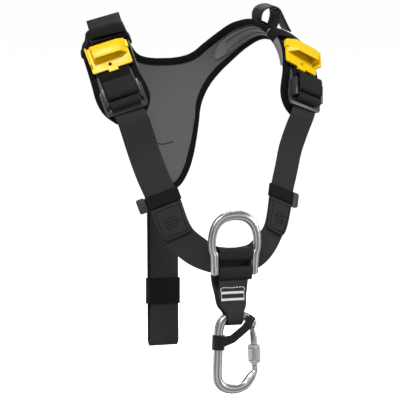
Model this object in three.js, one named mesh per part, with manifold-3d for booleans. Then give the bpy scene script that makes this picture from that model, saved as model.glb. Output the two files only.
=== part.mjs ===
// Chest harness for climbing and work at height, shown as it is worn: a padded yoke over back and shoulders,
// two adjustable chest straps, a forged ring on the breastbone and a locking connector below it.
// Millimetres, +Z up. The wearer faces -Y, so the wearer's left is +X.
// The origin lies midway between the two shoulders, at the height where the pad rests on them.
import * as THREE from "three";
import { mergeVertices } from "three/addons/utils/BufferGeometryUtils.js";
import Module from "manifold-3d";

const wasm = await Module();
wasm.setup();

// Driving dimensions: the trunk that the harness fits
const NECK_HALF_GAP = 100;
const TRUNK_HALF_DEPTH = 100;
const BACK_DROP = 250;

// Driving dimensions: cloth
const WEB_WIDTH = 45;
const WEB_THICKNESS = 2;
const PAD_THICKNESS = 7;
const BINDING_WIDTH = 10;
const BINDING_THICKNESS = 8.4;
const ELASTIC_THICKNESS = 1.5;
const LINER_THICKNESS = 1.2;
const LINER_GAP = 1;
const GAP = 0.4;
const CLOTH_GAP = 1.6;
const BINDING_GAP = 1.3;

const V = (x, y, z) => new THREE.Vector3(x, y, z);
const lerp = THREE.MathUtils.lerp;
const rad = THREE.MathUtils.degToRad;

// A place given as shares of the three trunk sizes.
const place = (x, y, z) => V(x * NECK_HALF_GAP, y * TRUNK_HALF_DEPTH, z * BACK_DROP);

// Indexed triangles as a geometry whose faces point outwards.
function closedGeometry(points, faces) {
  let volume = 0;
  for (const [a, b, c] of faces) {
    volume += points[a].dot(V(0, 0, 0).crossVectors(points[b], points[c]));
  }
  const index = faces.flatMap(([a, b, c]) => (volume < 0 ? [a, c, b] : [a, b, c]));
  const geometry = new THREE.BufferGeometry().setFromPoints(points).setIndex(index);
  geometry.computeVertexNormals();
  return geometry;
}

// A closed body through rings of equally many points, ended by flat fans or joined round into a loop.
function loft(rings, looped = false) {
  const count = rings[0].length;
  const points = rings.flat();
  const faces = [];
  const spans = looped ? rings.length : rings.length - 1;
  for (let i = 0; i < spans; i += 1) {
    const next = (i + 1) % rings.length;
    for (let j = 0; j < count; j += 1) {
      const k = (j + 1) % count;
      faces.push([i * count + j, next * count + j, next * count + k]);
      faces.push([i * count + j, next * count + k, i * count + k]);
    }
  }
  if (!looped) {
    const last = (rings.length - 1) * count;
    for (let j = 1; j < count - 1; j += 1) {
      faces.push([0, j, j + 1]);
      faces.push([last, last + j + 1, last + j]);
    }
  }
  return closedGeometry(points, faces);
}

// A closed cloth wall between two grids of points, row by row.
function sheet(face, back) {
  const rows = face.length;
  const columns = face[0].length;
  const points = [...face.flat(), ...back.flat()];
  const half = rows * columns;
  const faces = [];
  const quad = (a, b, c, d) => faces.push([a, b, c], [a, c, d]);
  const at = (i, j) => i * columns + j;
  for (let i = 0; i < rows - 1; i += 1) {
    for (let j = 0; j < columns - 1; j += 1) {
      quad(at(i, j), at(i + 1, j), at(i + 1, j + 1), at(i, j + 1));
      quad(half + at(i, j), half + at(i, j + 1), half + at(i + 1, j + 1), half + at(i + 1, j));
    }
  }
  for (let i = 0; i < rows - 1; i += 1) {
    quad(at(i, 0), half + at(i, 0), half + at(i + 1, 0), at(i + 1, 0));
    const j = columns - 1;
    quad(at(i, j), at(i + 1, j), half + at(i + 1, j), half + at(i, j));
  }
  for (let j = 0; j < columns - 1; j += 1) {
    const i = rows - 1;
    quad(at(0, j), at(0, j + 1), half + at(0, j + 1), half + at(0, j));
    quad(at(i, j), half + at(i, j), half + at(i, j + 1), at(i, j + 1));
  }
  return closedGeometry(points, faces);
}

// Geometry to solid and back, for cuts and joins.
function solidOf(geometry) {
  const bare = geometry.clone();
  bare.deleteAttribute("normal");
  bare.deleteAttribute("uv");
  const merged = mergeVertices(bare, 1e-3);
  return new wasm.Manifold(
    new wasm.Mesh({
      numProp: 3,
      vertProperties: new Float32Array(merged.attributes.position.array),
      triVerts: new Uint32Array(merged.index.array),
    }),
  );
}

function geometryOf(solid) {
  const mesh = solid.getMesh();
  const geometry = new THREE.BufferGeometry();
  geometry.setAttribute("position", new THREE.BufferAttribute(mesh.vertProperties, 3));
  geometry.setIndex(new THREE.BufferAttribute(mesh.triVerts, 1));
  geometry.computeVertexNormals();
  return geometry;
}

function joined(first, ...rest) {
  return geometryOf(rest.reduce((sum, part) => sum.add(solidOf(part)), solidOf(first)));
}

function cut(first, ...rest) {
  return geometryOf(rest.reduce((sum, part) => sum.subtract(solidOf(part)), solidOf(first)));
}

// The same geometry on the other side of the trunk.
function mirrored(geometry) {
  const copy = geometry.clone().scale(-1, 1, 1);
  const index = copy.index.array;
  for (let i = 0; i < index.length; i += 3) {
    const second = index[i + 1];
    index[i + 1] = index[i + 2];
    index[i + 2] = second;
  }
  return copy;
}

// A smooth curve through table rows, read at a share from 0 to 1 of the rows' count.
function smooth(points) {
  const curve = new THREE.CatmullRomCurve3(points, false, "centripetal");
  return (share) => curve.getPoint(THREE.MathUtils.clamp(share, 0, 1));
}

// A rectangle with rounded corners, and an oval, as shapes.
function roundedShape(width, height, radius, shift = 0) {
  const x = width / 2;
  const top = height / 2 + shift;
  const bottom = -height / 2 + shift;
  const shape = new THREE.Shape();
  shape.moveTo(-x + radius, bottom);
  shape.lineTo(x - radius, bottom);
  shape.absarc(x - radius, bottom + radius, radius, -Math.PI / 2, 0);
  shape.absarc(x - radius, top - radius, radius, 0, Math.PI / 2);
  shape.absarc(-x + radius, top - radius, radius, Math.PI / 2, Math.PI);
  shape.absarc(-x + radius, bottom + radius, radius, Math.PI, Math.PI * 1.5);
  return shape;
}

function extruded(shape, depth, segments = 3) {
  const options = { depth, bevelEnabled: false, curveSegments: segments };
  return mergeVertices(new THREE.ExtrudeGeometry(shape, options), 1e-4);
}

// A round rod between two points.
function rod(from, to, radius, sides = 10) {
  const along = to.clone().sub(from);
  const geometry = new THREE.CylinderGeometry(radius, radius, along.length(), sides);
  const turn = new THREE.Quaternion().setFromUnitVectors(V(0, 1, 0), along.clone().normalize());
  geometry.applyQuaternion(turn);
  geometry.translate(...from.clone().add(to).multiplyScalar(0.5).toArray());
  return geometry;
}

const group = new THREE.Group();

const FINISH = {
  padFoam: { color: 0x55565a, roughness: 0.9, metalness: 0 },
  binding: { color: 0x19191b, roughness: 0.85, metalness: 0 },
  webbing: { color: 0x3b3c3f, roughness: 0.75, metalness: 0 },
  elastic: { color: 0x242426, roughness: 0.9, metalness: 0 },
  yellow: { color: 0xffd814, roughness: 0.45, metalness: 0 },
  greyPlastic: { color: 0x5a5b5e, roughness: 0.5, metalness: 0 },
  darkMetal: { color: 0x4b4c4f, roughness: 0.4, metalness: 0.9 },
  bright: { color: 0xc9ccd0, roughness: 0.25, metalness: 1 },
  blackPlastic: { color: 0x161617, roughness: 0.5, metalness: 0 },
  thread: { color: 0xf2f2f0, roughness: 0.8, metalness: 0 },
};

function add(name, geometry, finish) {
  const mesh = new THREE.Mesh(geometry, new THREE.MeshStandardMaterial(FINISH[finish]));
  mesh.name = name;
  group.add(mesh);
}

function addPair(name, geometry, finish) {
  add(`${name}_left`, geometry, finish);
  add(`${name}_right`, mirrored(geometry), finish);
}

// The yoke: half of the pad's outline, from the middle of the back over the wearer's left shoulder to the
// front end. Each row is a line across the pad, from its neck side to its outer side, in trunk shares.
const PAD_ROWS = [
  { neckX: 0, neckY: 0.92, neckZ: -0.192, outX: 0, outY: 0.97, outZ: -0.985, crown: 4 },
  { neckX: 0.06, neckY: 0.92, neckZ: -0.192, outX: 0.26, outY: 0.97, outZ: -0.955, crown: 4 },
  { neckX: 0.12, neckY: 0.915, neckZ: -0.192, outX: 0.415, outY: 0.97, outZ: -0.87, crown: 4 },
  { neckX: 0.18, neckY: 0.91, neckZ: -0.19, outX: 0.495, outY: 0.965, outZ: -0.778, crown: 4 },
  { neckX: 0.24, neckY: 0.905, neckZ: -0.188, outX: 0.54, outY: 0.96, outZ: -0.688, crown: 4 },
  { neckX: 0.31, neckY: 0.895, neckZ: -0.183, outX: 0.57, outY: 0.95, outZ: -0.588, crown: 4 },
  { neckX: 0.39, neckY: 0.88, neckZ: -0.174, outX: 0.59, outY: 0.935, outZ: -0.492, crown: 4 },
  { neckX: 0.48, neckY: 0.84, neckZ: -0.152, outX: 0.65, outY: 0.91, outZ: -0.412, crown: 4 },
  { neckX: 0.58, neckY: 0.775, neckZ: -0.112, outX: 0.745, outY: 0.87, outZ: -0.34, crown: 4 },
  { neckX: 0.7, neckY: 0.64, neckZ: -0.06, outX: 0.87, outY: 0.81, outZ: -0.276, crown: 4 },
  { neckX: 0.84, neckY: 0.42, neckZ: 0, outX: 1.01, outY: 0.735, outZ: -0.216, crown: 4 },
  { neckX: 0.93, neckY: 0.27, neckZ: 0.016, outX: 1.19, outY: 0.61, outZ: -0.14, crown: 4 },
  { neckX: 1, neckY: 0.13, neckZ: 0.018, outX: 1.37, outY: 0.45, outZ: -0.088, crown: 4 },
  { neckX: 1.06, neckY: -0.01, neckZ: 0, outX: 1.52, outY: 0.28, outZ: -0.1, crown: 4 },
  { neckX: 1.1, neckY: -0.15, neckZ: -0.03, outX: 1.63, outY: 0.11, outZ: -0.124, crown: 4 },
  { neckX: 1.13, neckY: -0.29, neckZ: -0.06, outX: 1.7, outY: -0.05, outZ: -0.15, crown: 4 },
  { neckX: 1.15, neckY: -0.44, neckZ: -0.108, outX: 1.745, outY: -0.2, outZ: -0.184, crown: 3 },
  { neckX: 1.15, neckY: -0.58, neckZ: -0.172, outX: 1.765, outY: -0.33, outZ: -0.228, crown: 2 },
  { neckX: 1.12, neckY: -0.69, neckZ: -0.24, outX: 1.765, outY: -0.43, outZ: -0.28, crown: 2 },
  { neckX: 1.06, neckY: -0.77, neckZ: -0.3, outX: 1.755, outY: -0.51, outZ: -0.338, crown: 2 },
  { neckX: 1.02, neckY: -0.82, neckZ: -0.356, outX: 1.74, outY: -0.57, outZ: -0.392, crown: 2 },
  { neckX: 1.03, neckY: -0.835, neckZ: -0.404, outX: 1.7, outY: -0.62, outZ: -0.44, crown: 2 },
  { neckX: 1.08, neckY: -0.83, neckZ: -0.45, outX: 1.64, outY: -0.665, outZ: -0.478, crown: 2 },
  { neckX: 1.16, neckY: -0.81, neckZ: -0.486, outX: 1.55, outY: -0.71, outZ: -0.506, crown: 2 },
  { neckX: 1.27, neckY: -0.79, neckZ: -0.512, outX: 1.43, outY: -0.75, outZ: -0.52, crown: 2 },
];
const PAD_STEPS = (PAD_ROWS.length - 1) * 2;
const PAD_COLUMNS = 5;

const neckCurve = smooth(PAD_ROWS.map((row) => place(row.neckX, row.neckY, row.neckZ)));
const outerCurve = smooth(PAD_ROWS.map((row) => place(row.outX, row.outY, row.outZ)));

// How far the pad bulges away from the straight line across it.
function crownRise(share, across) {
  const row = share * (PAD_ROWS.length - 1);
  const before = PAD_ROWS[Math.floor(row)];
  const after = PAD_ROWS[Math.min(Math.floor(row) + 1, PAD_ROWS.length - 1)];
  const crown = lerp(before.crown, after.crown, row - Math.floor(row));
  return crown * 4 * across * (1 - across);
}

// A point of the pad's inner face: station from 0 at mid-back to 1 at the front end, across from 0 at the
// neck side to 1 at the outer side. Negative stations lie on the wearer's right.
function padPoint(station, across) {
  const share = Math.abs(station);
  const neck = neckCurve(share);
  const outer = outerCurve(share);
  const point = neck.clone().lerp(outer, across);
  const chord = outer.clone().sub(neck).normalize();
  const step = 0.01;
  const ahead = neckCurve(share + step).lerp(outerCurve(share + step), across);
  const behind = neckCurve(share - step).lerp(outerCurve(share - step), across);
  const normal = ahead.sub(behind).cross(chord).normalize();
  if (share < step) normal.x = 0;
  point.addScaledVector(normal.normalize(), crownRise(share, across));
  if (station < 0) point.x = -point.x;
  return point;
}

// The pad's frame at a point: "out" points away from the wearer, "across" to the outer side, "up" back along
// the yoke towards the middle of the back.
function padFrame(station, across) {
  const step = 0.012;
  const along = padPoint(station + step, across).sub(padPoint(station - step, across)).normalize();
  const side = padPoint(station, across + 0.02).sub(padPoint(station, across - 0.02)).normalize();
  const out = along.clone().cross(side).normalize();
  const up = out.clone().cross(side).normalize();
  return { point: padPoint(station, across), out, across: side, up };
}

// The edge of the pad as a closed ring of frames, for the binding and for the foam inside it.
function padEdge() {
  const edge = [];
  for (let i = -PAD_STEPS; i <= PAD_STEPS; i += 1) edge.push([i / PAD_STEPS, 0]);
  for (let i = PAD_STEPS; i >= -PAD_STEPS; i -= 1) edge.push([i / PAD_STEPS, 1]);
  const frames = edge.map(([station, across]) => padFrame(station, across));
  const count = frames.length;
  return frames.map((frame, i) => {
    const ahead = frames[(i + 1) % count].point;
    const behind = frames[(i - 1 + count) % count].point;
    const along = ahead.clone().sub(behind).normalize();
    const inward = frame.out.clone().cross(along).normalize();
    return { point: frame.point, out: frame.out, inward };
  });
}

const EDGE = padEdge();

// The foam as rows of inner points with their outward directions, from the inner side of the binding on one
// edge to the other.
function foamGrid() {
  const inset = EDGE.map(({ point, inward }) => {
    return point.clone().addScaledVector(inward, BINDING_WIDTH + BINDING_GAP);
  });
  const rows = [];
  for (let i = 0; i <= PAD_STEPS * 2; i += 1) {
    const station = (i - PAD_STEPS) / PAD_STEPS;
    const share = Math.abs(station);
    const width = padPoint(station, 0).distanceTo(padPoint(station, 1));
    const margin = Math.min((BINDING_WIDTH + BINDING_GAP) / width, 0.5);
    const cells = [];
    for (let j = 0; j < PAD_COLUMNS; j += 1) {
      const across = j / (PAD_COLUMNS - 1);
      const { out } = padFrame(station, across);
      const rise = crownRise(share, lerp(margin, 1 - margin, across)) - crownRise(share, margin);
      const point = inset[i].clone().lerp(inset[EDGE.length - 1 - i], across).addScaledVector(out, rise);
      cells.push({ point, out });
    }
    rows.push({ cells, margin });
  }
  return rows;
}

const FOAM = foamGrid();

function backPad() {
  const lifted = (lift) =>
    FOAM.map((row) => row.cells.map(({ point, out }) => point.clone().addScaledVector(out, lift)));
  return sheet(lifted(PAD_THICKNESS), lifted(0));
}

// A place on the foam, "lift" above its inner face. Shares across count from the pad's real edges.
function onPad(station, across, lift) {
  const row = (station + 1) * PAD_STEPS;
  const i = THREE.MathUtils.clamp(Math.floor(row), 0, PAD_STEPS * 2 - 1);
  const read = ({ cells, margin }) => {
    const column = ((across - margin) / (1 - 2 * margin)) * (PAD_COLUMNS - 1);
    const j = THREE.MathUtils.clamp(Math.floor(column), 0, PAD_COLUMNS - 2);
    const point = cells[j].point.clone().lerp(cells[j + 1].point, column - j);
    const out = cells[j].out.clone().lerp(cells[j + 1].out, column - j).normalize();
    return point.addScaledVector(out, lift);
  };
  return read(FOAM[i]).lerp(read(FOAM[i + 1]), row - i);
}

// Binding: a six-sided bead round the whole edge.
function padBinding() {
  const middle = PAD_THICKNESS / 2;
  const half = BINDING_THICKNESS / 2;
  const profile = [
    { inward: 0, out: 0 },
    { inward: 0.25, out: 0.9 },
    { inward: 1, out: 1 },
    { inward: 1, out: -1 },
    { inward: 0.25, out: -0.9 },
  ];
  const rings = EDGE.map((edge) =>
    profile.map((corner) =>
      edge.point
        .clone()
        .addScaledVector(edge.inward, corner.inward * BINDING_WIDTH)
        .addScaledVector(edge.out, middle + corner.out * half),
    ),
  );
  return loft(rings, true);
}

add("back_pad", backPad(), "padFoam");
add("pad_binding", padBinding(), "binding");

// A cloth band laid on the pad between two lifts above its inner face. Rows give a station and the shares
// across the pad where the band's two edges lie.
function bandOnPad(rows, bottom, top, steps = 3, columns = 3) {
  const first = smooth(rows.map((row) => V(row.station, row.from, row.to)));
  const count = (rows.length - 1) * steps;
  const low = [];
  const high = [];
  for (let i = 0; i <= count; i += 1) {
    const { x: station, y: from, z: to } = first(i / count);
    const lowRow = [];
    const highRow = [];
    for (let j = 0; j < columns; j += 1) {
      const across = lerp(from, to, j / (columns - 1));
      lowRow.push(onPad(station, across, bottom));
      highRow.push(onPad(station, across, top));
    }
    low.push(lowRow);
    high.push(highRow);
  }
  return sheet(high, low);
}

// Grey reinforcing strip on the wearer's side, with a pointed lower end.
const LINER_ROWS = [
  { station: 0.36, from: 0.5, to: 0.56 },
  { station: 0.375, from: 0.32, to: 0.64 },
  { station: 0.41, from: 0.26, to: 0.7 },
  { station: 0.48, from: 0.24, to: 0.74 },
  { station: 0.57, from: 0.24, to: 0.76 },
];
addPair("shoulder_liner", bandOnPad(LINER_ROWS, -LINER_GAP - LINER_THICKNESS, -LINER_GAP, 3, 4), "padFoam");

// Lifts of the layers stacked on the pad's outer face.
const WEB_LOW = PAD_THICKNESS + CLOTH_GAP;
const WEB_TOP = WEB_LOW + WEB_THICKNESS;
const PATCH_THICKNESS = 1.6;
const PATCH_LOW = WEB_TOP + GAP;
const PATCH_TOP = PATCH_LOW + PATCH_THICKNESS;

// Webbing over the outer side of the shoulder, from the rear strap's edge to the buckle.
const SHOULDER_WEB_ROWS = [
  { station: 0.105, from: 0.4, to: 0.58 },
  { station: 0.2, from: 0.34, to: 0.6 },
  { station: 0.3, from: 0.28, to: 0.62 },
  { station: 0.4, from: 0.24, to: 0.68 },
  { station: 0.47, from: 0.22, to: 0.74 },
  { station: 0.56, from: 0.18, to: 0.8 },
  { station: 0.64, from: 0.16, to: 0.83 },
  { station: 0.72, from: 0.17, to: 0.83 },
  { station: 0.81, from: 0.22, to: 0.8 },
];
addPair("shoulder_web", bandOnPad(SHOULDER_WEB_ROWS, WEB_LOW, WEB_TOP, 4, 5), "webbing");

// Hook-and-loop patch below the holder.
const PATCH_ROWS = [
  { station: 0.665, from: 0.14, to: 0.84 },
  { station: 0.775, from: 0.2, to: 0.8 },
];
addPair("holder_patch", bandOnPad(PATCH_ROWS, PATCH_LOW, PATCH_TOP, 4, 4), "elastic");

// A local frame on the outer face of the pad: x to the outer side, y up along the yoke, z away from the
// wearer. Hard pieces are drawn in it and moved to their seat.
function seatOnPad(geometry, station, across, lift, turn = 0) {
  const frame = padFrame(station, across);
  const matrix = new THREE.Matrix4().makeBasis(frame.across, frame.up, frame.out);
  matrix.setPosition(onPad(station, across, lift));
  const turned = new THREE.Matrix4().makeRotationZ(rad(turn));
  return geometry.applyMatrix4(matrix.multiply(turned));
}

// Yellow holder: a hood over the upper part of a base plate, open towards the plate's bare lower part, with
// a tall fin on its outer side.
const HOLDER = { width: 59, height: 39, base: 2.6, rise: 16, wall: 2.4, fin: 12 };
const HOLDER_SEAT = { station: 0.735, across: 0.49, turn: -10, lift: 0.4 };

// Sections of the hood from its open lip upwards, as shares of height and rise.
const HOLDER_SECTIONS = [
  { up: 0.42, rise: 0.94 },
  { up: 0.72, rise: 1 },
  { up: 0.93, rise: 0.78 },
  { up: 1.02, rise: 0.28 },
];

// Outline of one section, as shares of half the width and of the rise.
const HOLDER_PROFILE = [
  { side: 0.8, rise: 0 },
  { side: 0.74, rise: 1 },
  { side: -0.62, rise: 0.92 },
  { side: -0.94, rise: 0 },
];

function holderHood(inset, overrun) {
  const { width, height, base, rise } = HOLDER;
  return loft(
    HOLDER_SECTIONS.map((section, i) => {
      const up = section.up * height - (i === 0 ? overrun : inset);
      return HOLDER_PROFILE.map((corner) => {
        const side = corner.side * (width / 2) - Math.sign(corner.side) * inset;
        const out = corner.rise * Math.max(section.rise * rise - inset, 0.1);
        return V(side, up, base - 0.6 + out);
      });
    }),
  );
}

function holder() {
  const { width, height, base, wall, fin } = HOLDER;
  const plate = extruded(roundedShape(width, height, 3), base).translate(0, height / 2, 0);
  const outerFin = new THREE.BoxGeometry(wall, height * 0.68, fin);
  outerFin.rotateY(rad(12)).translate(width / 2 - wall / 2, height * 0.6, base + fin / 2 - 1);
  const lug = new THREE.BoxGeometry(4, 10, base + 3.4);
  lug.translate(-width / 2 + 0.4, height * 0.75, (base + 3.4) / 2);
  const tab = new THREE.BoxGeometry(14, 5, base);
  tab.translate(0, -1.6, base / 2);
  const whole = joined(plate, holderHood(0, 0), outerFin, lug, tab);
  const hole = new THREE.CylinderGeometry(2.6, 2.6, 30, 10).rotateX(Math.PI / 2).translate(2, 7, 0);
  const mouth = holderHood(wall, 6).translate(0, 0, 0.7);
  return cut(whole, mouth, hole);
}

addPair(
  "holder",
  seatOnPad(holder(), HOLDER_SEAT.station, HOLDER_SEAT.across, PATCH_TOP + HOLDER_SEAT.lift, HOLDER_SEAT.turn),
  "yellow",
);

// Elastic keepers round pad and webbing. Rows give shares across the pad and the lift of the band's inner
// face; "high" is how much of the stowed strap's height the band climbs over.
const KEEPER = { station: 0.618, halfWidth: 0.026, low: -CLOTH_GAP, high: WEB_TOP + CLOTH_GAP };
const KEEPER_ROWS = [
  { across: -0.06, side: 0.5, high: 0 },
  { across: 0.0, side: 0.96, high: 0.1 },
  { across: 0.1, side: 1, high: 1 },
  { across: 0.5, side: 1, high: 1 },
  { across: 0.86, side: 1, high: 1 },
  { across: 0.99, side: 0.96, high: 0.1 },
  { across: 1.06, side: 0.5, high: 0 },
  { across: 0.98, side: 0, high: 0 },
  { across: 0.7, side: 0, high: 0 },
  { across: 0.3, side: 0, high: 0 },
  { across: 0.02, side: 0, high: 0 },
];

function keeper(stowed) {
  const at = (station, row, extra) => {
    const lift = lerp(KEEPER.low - extra, KEEPER.high + row.high * stowed + extra, row.side);
    const spread = row.side === 0.5 ? Math.sign(row.across - 0.5) * extra * 0.017 : 0;
    return onPad(station, row.across + spread, lift);
  };
  const upper = KEEPER.station - KEEPER.halfWidth;
  const lower = KEEPER.station + KEEPER.halfWidth;
  return loft(
    KEEPER_ROWS.map((row) => [
      at(upper, row, 0),
      at(lower, row, 0),
      at(lower, row, ELASTIC_THICKNESS),
      at(upper, row, ELASTIC_THICKNESS),
    ]),
    true,
  );
}

// The stowed end of the right strap: a packet folded to and fro, its lower part under the keeper.
const PACKET = { width: 46, length: 38, height: 12, layers: 4, shift: 14 };

function foldedPacket() {
  const { width, length, height, layers, shift } = PACKET;
  const pitch = height / layers;
  const thick = pitch * 0.74;
  const body = new THREE.BoxGeometry(width, length, thick).translate(0, shift, thick / 2);
  const pieces = [];
  for (let k = 1; k < layers; k += 1) {
    const short = (k % 2) * 2;
    const layer = new THREE.BoxGeometry(width, length - short, thick);
    pieces.push(layer.translate(0, shift, k * pitch + thick / 2));
    const turn = new THREE.BoxGeometry(width, thick, pitch + thick);
    const end = (k % 2 === 0 ? -1 : 1) * (length / 2 - short / 2 - 1 - thick / 2);
    pieces.push(turn.translate(0, shift + end, (k - 0.5) * pitch + thick / 2));
  }
  return joined(body, ...pieces);
}

const PACKET_LIFT = WEB_TOP + GAP;
const TUCKED = 2;
add("shoulder_keeper_left", keeper(TUCKED), "elastic");
add("shoulder_keeper_right", mirrored(keeper(PACKET.height + 4 * CLOTH_GAP)), "elastic");
add("folded_tail_right", mirrored(seatOnPad(foldedPacket(), KEEPER.station, 0.48, PACKET_LIFT)), "webbing");

// The stowed end of the left strap: it stands up behind the keeper as an arch with a free tip, and a second
// limb comes down inside the arch. Rows give the front edge in trunk shares.
const LOOP = { y: 0.03, depth: 28, climb: 6 };
const ARCH_ROWS = [
  { x: 1.1, z: 0.052 },
  { x: 1.115, z: 0.068 },
  { x: 1.15, z: 0.086 },
  { x: 1.21, z: 0.096 },
  { x: 1.3, z: 0.096 },
  { x: 1.39, z: 0.076 },
  { x: 1.47, z: 0.04 },
  { x: 1.54, z: -0.002 },
  { x: 1.655, z: -0.064 },
];
const LIMB_ROWS = [
  { x: 1.34, z: 0.09 },
  { x: 1.315, z: 0.07 },
  { x: 1.3, z: 0.052 },
  { x: 1.3, z: 0.04 },
];

function archBand(rows) {
  const path = smooth(rows.map((row) => place(row.x, LOOP.y, row.z)));
  const back = V(0, LOOP.depth, LOOP.climb);
  const count = (rows.length - 1) * 2;
  const grids = [1, -1].map((side) =>
    Array.from({ length: count + 1 }, (_, i) => {
      const along = path((i + 0.5) / count).sub(path((i - 0.5) / count));
      const normal = along.cross(back).normalize().multiplyScalar((side * WEB_THICKNESS) / 2);
      const front = path(i / count).add(normal);
      return [front, front.clone().add(back)];
    }),
  );
  return sheet(grids[0], grids[1]);
}

add("tail_loop_left", joined(archBand(ARCH_ROWS), archBand(LIMB_ROWS)), "webbing");

// Rear strap: down the middle of the back, a turn at its lower end and back up on the inner side. Rows give
// the strap's middle line in trunk shares.
const REAR_ROWS = [
  { y: 1.106, z: -0.5 },
  { y: 1.106, z: -0.74 },
  { y: 1.065, z: -0.96 },
  { y: 1.05, z: -1.12 },
  { y: 1.04, z: -1.42 },
  { y: 1.03, z: -1.8 },
  { y: 1.025, z: -1.86 },
  { y: 0.975, z: -1.885 },
  { y: 0.925, z: -1.86 },
  { y: 0.925, z: -1.8 },
  { y: 0.935, z: -1.42 },
  { y: 0.95, z: -1.06 },
];

// A flat band whose middle line runs in the plane of symmetry: rows of y, z and half width.
function planeBand(rows, thickness, steps, drop = BACK_DROP) {
  const half = WEB_WIDTH / 2;
  const path = smooth(rows.map(({ y, z, wide }) => V(wide * half, y * TRUNK_HALF_DEPTH, z * drop)));
  const count = (rows.length - 1) * steps;
  const grids = [1, -1].map((side) =>
    Array.from({ length: count + 1 }, (_, i) => {
      const at = path(i / count);
      const ahead = path((i + 0.5) / count).sub(path((i - 0.5) / count));
      const normal = V(0, -ahead.z, ahead.y).normalize().multiplyScalar((side * thickness) / 2);
      return [-1, 1].map((edge) => V(edge * at.x, at.y + normal.y, at.z + normal.z));
    }),
  );
  return sheet(grids[0], grids[1]);
}

add("rear_strap", planeBand(REAR_ROWS.map((row) => ({ ...row, wide: 1 })), WEB_THICKNESS, 2), "webbing");

// A flat sleeve: width, depth and wall, drawn round the y axis from 0 to its height.
function flatSleeve(width, depth, height, wall) {
  const shape = roundedShape(width, depth, Math.min(depth / 2 - 0.1, 2));
  shape.holes.push(roundedShape(width - 2 * wall, depth - 2 * wall, 0.6));
  return extruded(shape, height, 2).rotateX(-Math.PI / 2);
}

const REAR_KEEPER = { depth: 17, height: 38, y: 0.982, z: -1.64 };
const rearKeeper = flatSleeve(WEB_WIDTH + 5, REAR_KEEPER.depth, REAR_KEEPER.height, ELASTIC_THICKNESS);
rearKeeper.rotateX(Math.PI / 2);
rearKeeper.translate(0, REAR_KEEPER.y * TRUNK_HALF_DEPTH, REAR_KEEPER.z * BACK_DROP);
add("rear_strap_keeper", rearKeeper, "elastic");

// Chest straps. Rows give the middle of the strap in trunk shares; yaw and lean, in degrees, turn its width
// away from the wearer's left; wide is its share of the webbing's width.
const CHEST_ROWS = [
  { x: 1.42, y: -0.792, z: -0.36, yaw: 18.8, lean: 7, wide: 1 },
  { x: 1.405, y: -0.828, z: -0.402, yaw: 17.5, lean: 7, wide: 1 },
  { x: 1.38, y: -0.91, z: -0.448, yaw: 16, lean: 8, wide: 1 },
  { x: 1.33, y: -0.945, z: -0.496, yaw: 16, lean: 12, wide: 1 },
  { x: 1.255, y: -0.93, z: -0.572, yaw: 16, lean: 15, wide: 1 },
  { x: 1.15, y: -0.92, z: -0.688, yaw: 17, lean: 17, wide: 1 },
  { x: 1.06, y: -0.97, z: -0.8, yaw: 17.5, lean: 20, wide: 1 },
  { x: 0.97, y: -1.03, z: -0.896, yaw: 18, lean: 20, wide: 1 },
  { x: 0.9, y: -1.09, z: -0.972, yaw: 19, lean: 20, wide: 1 },
  { x: 0.76, y: -1.18, z: -1.136, yaw: 25, lean: 21.5, wide: 1 },
  { x: 0.535, y: -1.29, z: -1.232, yaw: 20, lean: 48, wide: 0.957 },
  { x: 0.33, y: -1.365, z: -1.28, yaw: 12, lean: 66, wide: 0.862 },
  { x: 0.01, y: -1.405, z: -1.304, yaw: 0, lean: 90, wide: 0.867 },
];
const chestMiddle = smooth(CHEST_ROWS.map((row) => place(row.x, row.y, row.z)));
const chestTurn = smooth(CHEST_ROWS.map((row) => V(row.yaw, row.lean, row.wide)));

// The strap's frame at a share of its rows: "out" away from the wearer, "across" to the outer edge.
function chestFrame(share) {
  const { x: yaw, y: lean, z: wide } = chestTurn(share);
  const flat = Math.cos(rad(lean));
  const across = V(flat * Math.cos(rad(yaw)), flat * Math.sin(rad(yaw)), -Math.sin(rad(lean)));
  const step = 0.01;
  const down = chestMiddle(share + step).sub(chestMiddle(share - step));
  const out = down.cross(across).normalize();
  const up = out.clone().cross(across);
  return { point: chestMiddle(share), across, out, up, wide };
}

function onChest(share, side, lift) {
  const { point, across, out, wide } = chestFrame(share);
  const reach = (side * wide * WEB_WIDTH) / 2;
  return point.addScaledVector(across, reach).addScaledVector(out, lift);
}

// A cloth layer on the chest strap. Rows give a share along the strap's rows and a share of its half width.
function bandOnChest(rows, low, high, columns) {
  const grid = (lift) =>
    rows.map((row) =>
      Array.from({ length: columns }, (_, j) => onChest(row.at, row.wide * lerp(-1, 1, j / (columns - 1)), lift)),
    );
  return sheet(grid(high), grid(low));
}

const CHEST_STEPS = (CHEST_ROWS.length - 1) * 3;
const chestStrapRows = Array.from({ length: CHEST_STEPS + 1 }, (_, i) => ({ at: i / CHEST_STEPS, wide: 1 }));
const CHEST_FACE = WEB_THICKNESS / 2;
addPair("chest_strap", bandOnChest(chestStrapRows, -CHEST_FACE, CHEST_FACE, 3), "webbing");

function seatOnChest(geometry, share) {
  const { point, across, out, up } = chestFrame(share);
  const matrix = new THREE.Matrix4().makeBasis(across, up, out);
  matrix.setPosition(point);
  return geometry.applyMatrix4(matrix);
}

// Doubled and sewn lower end of the adjustable part, on the strap below the band.
const TAB = { low: CHEST_FACE + GAP, high: CHEST_FACE + GAP + 3.6 };
const TAB_ROWS = [
  { at: 0.672, wide: 0.96 },
  { at: 0.69, wide: 0.97 },
  { at: 0.71, wide: 0.98 },
  { at: 0.735, wide: 0.97 },
  { at: 0.752, wide: 0.9 },
  { at: 0.762, wide: 0.76 },
];
addPair("sewn_tab", bandOnChest(TAB_ROWS, TAB.low, TAB.high, 3), "webbing");

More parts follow.
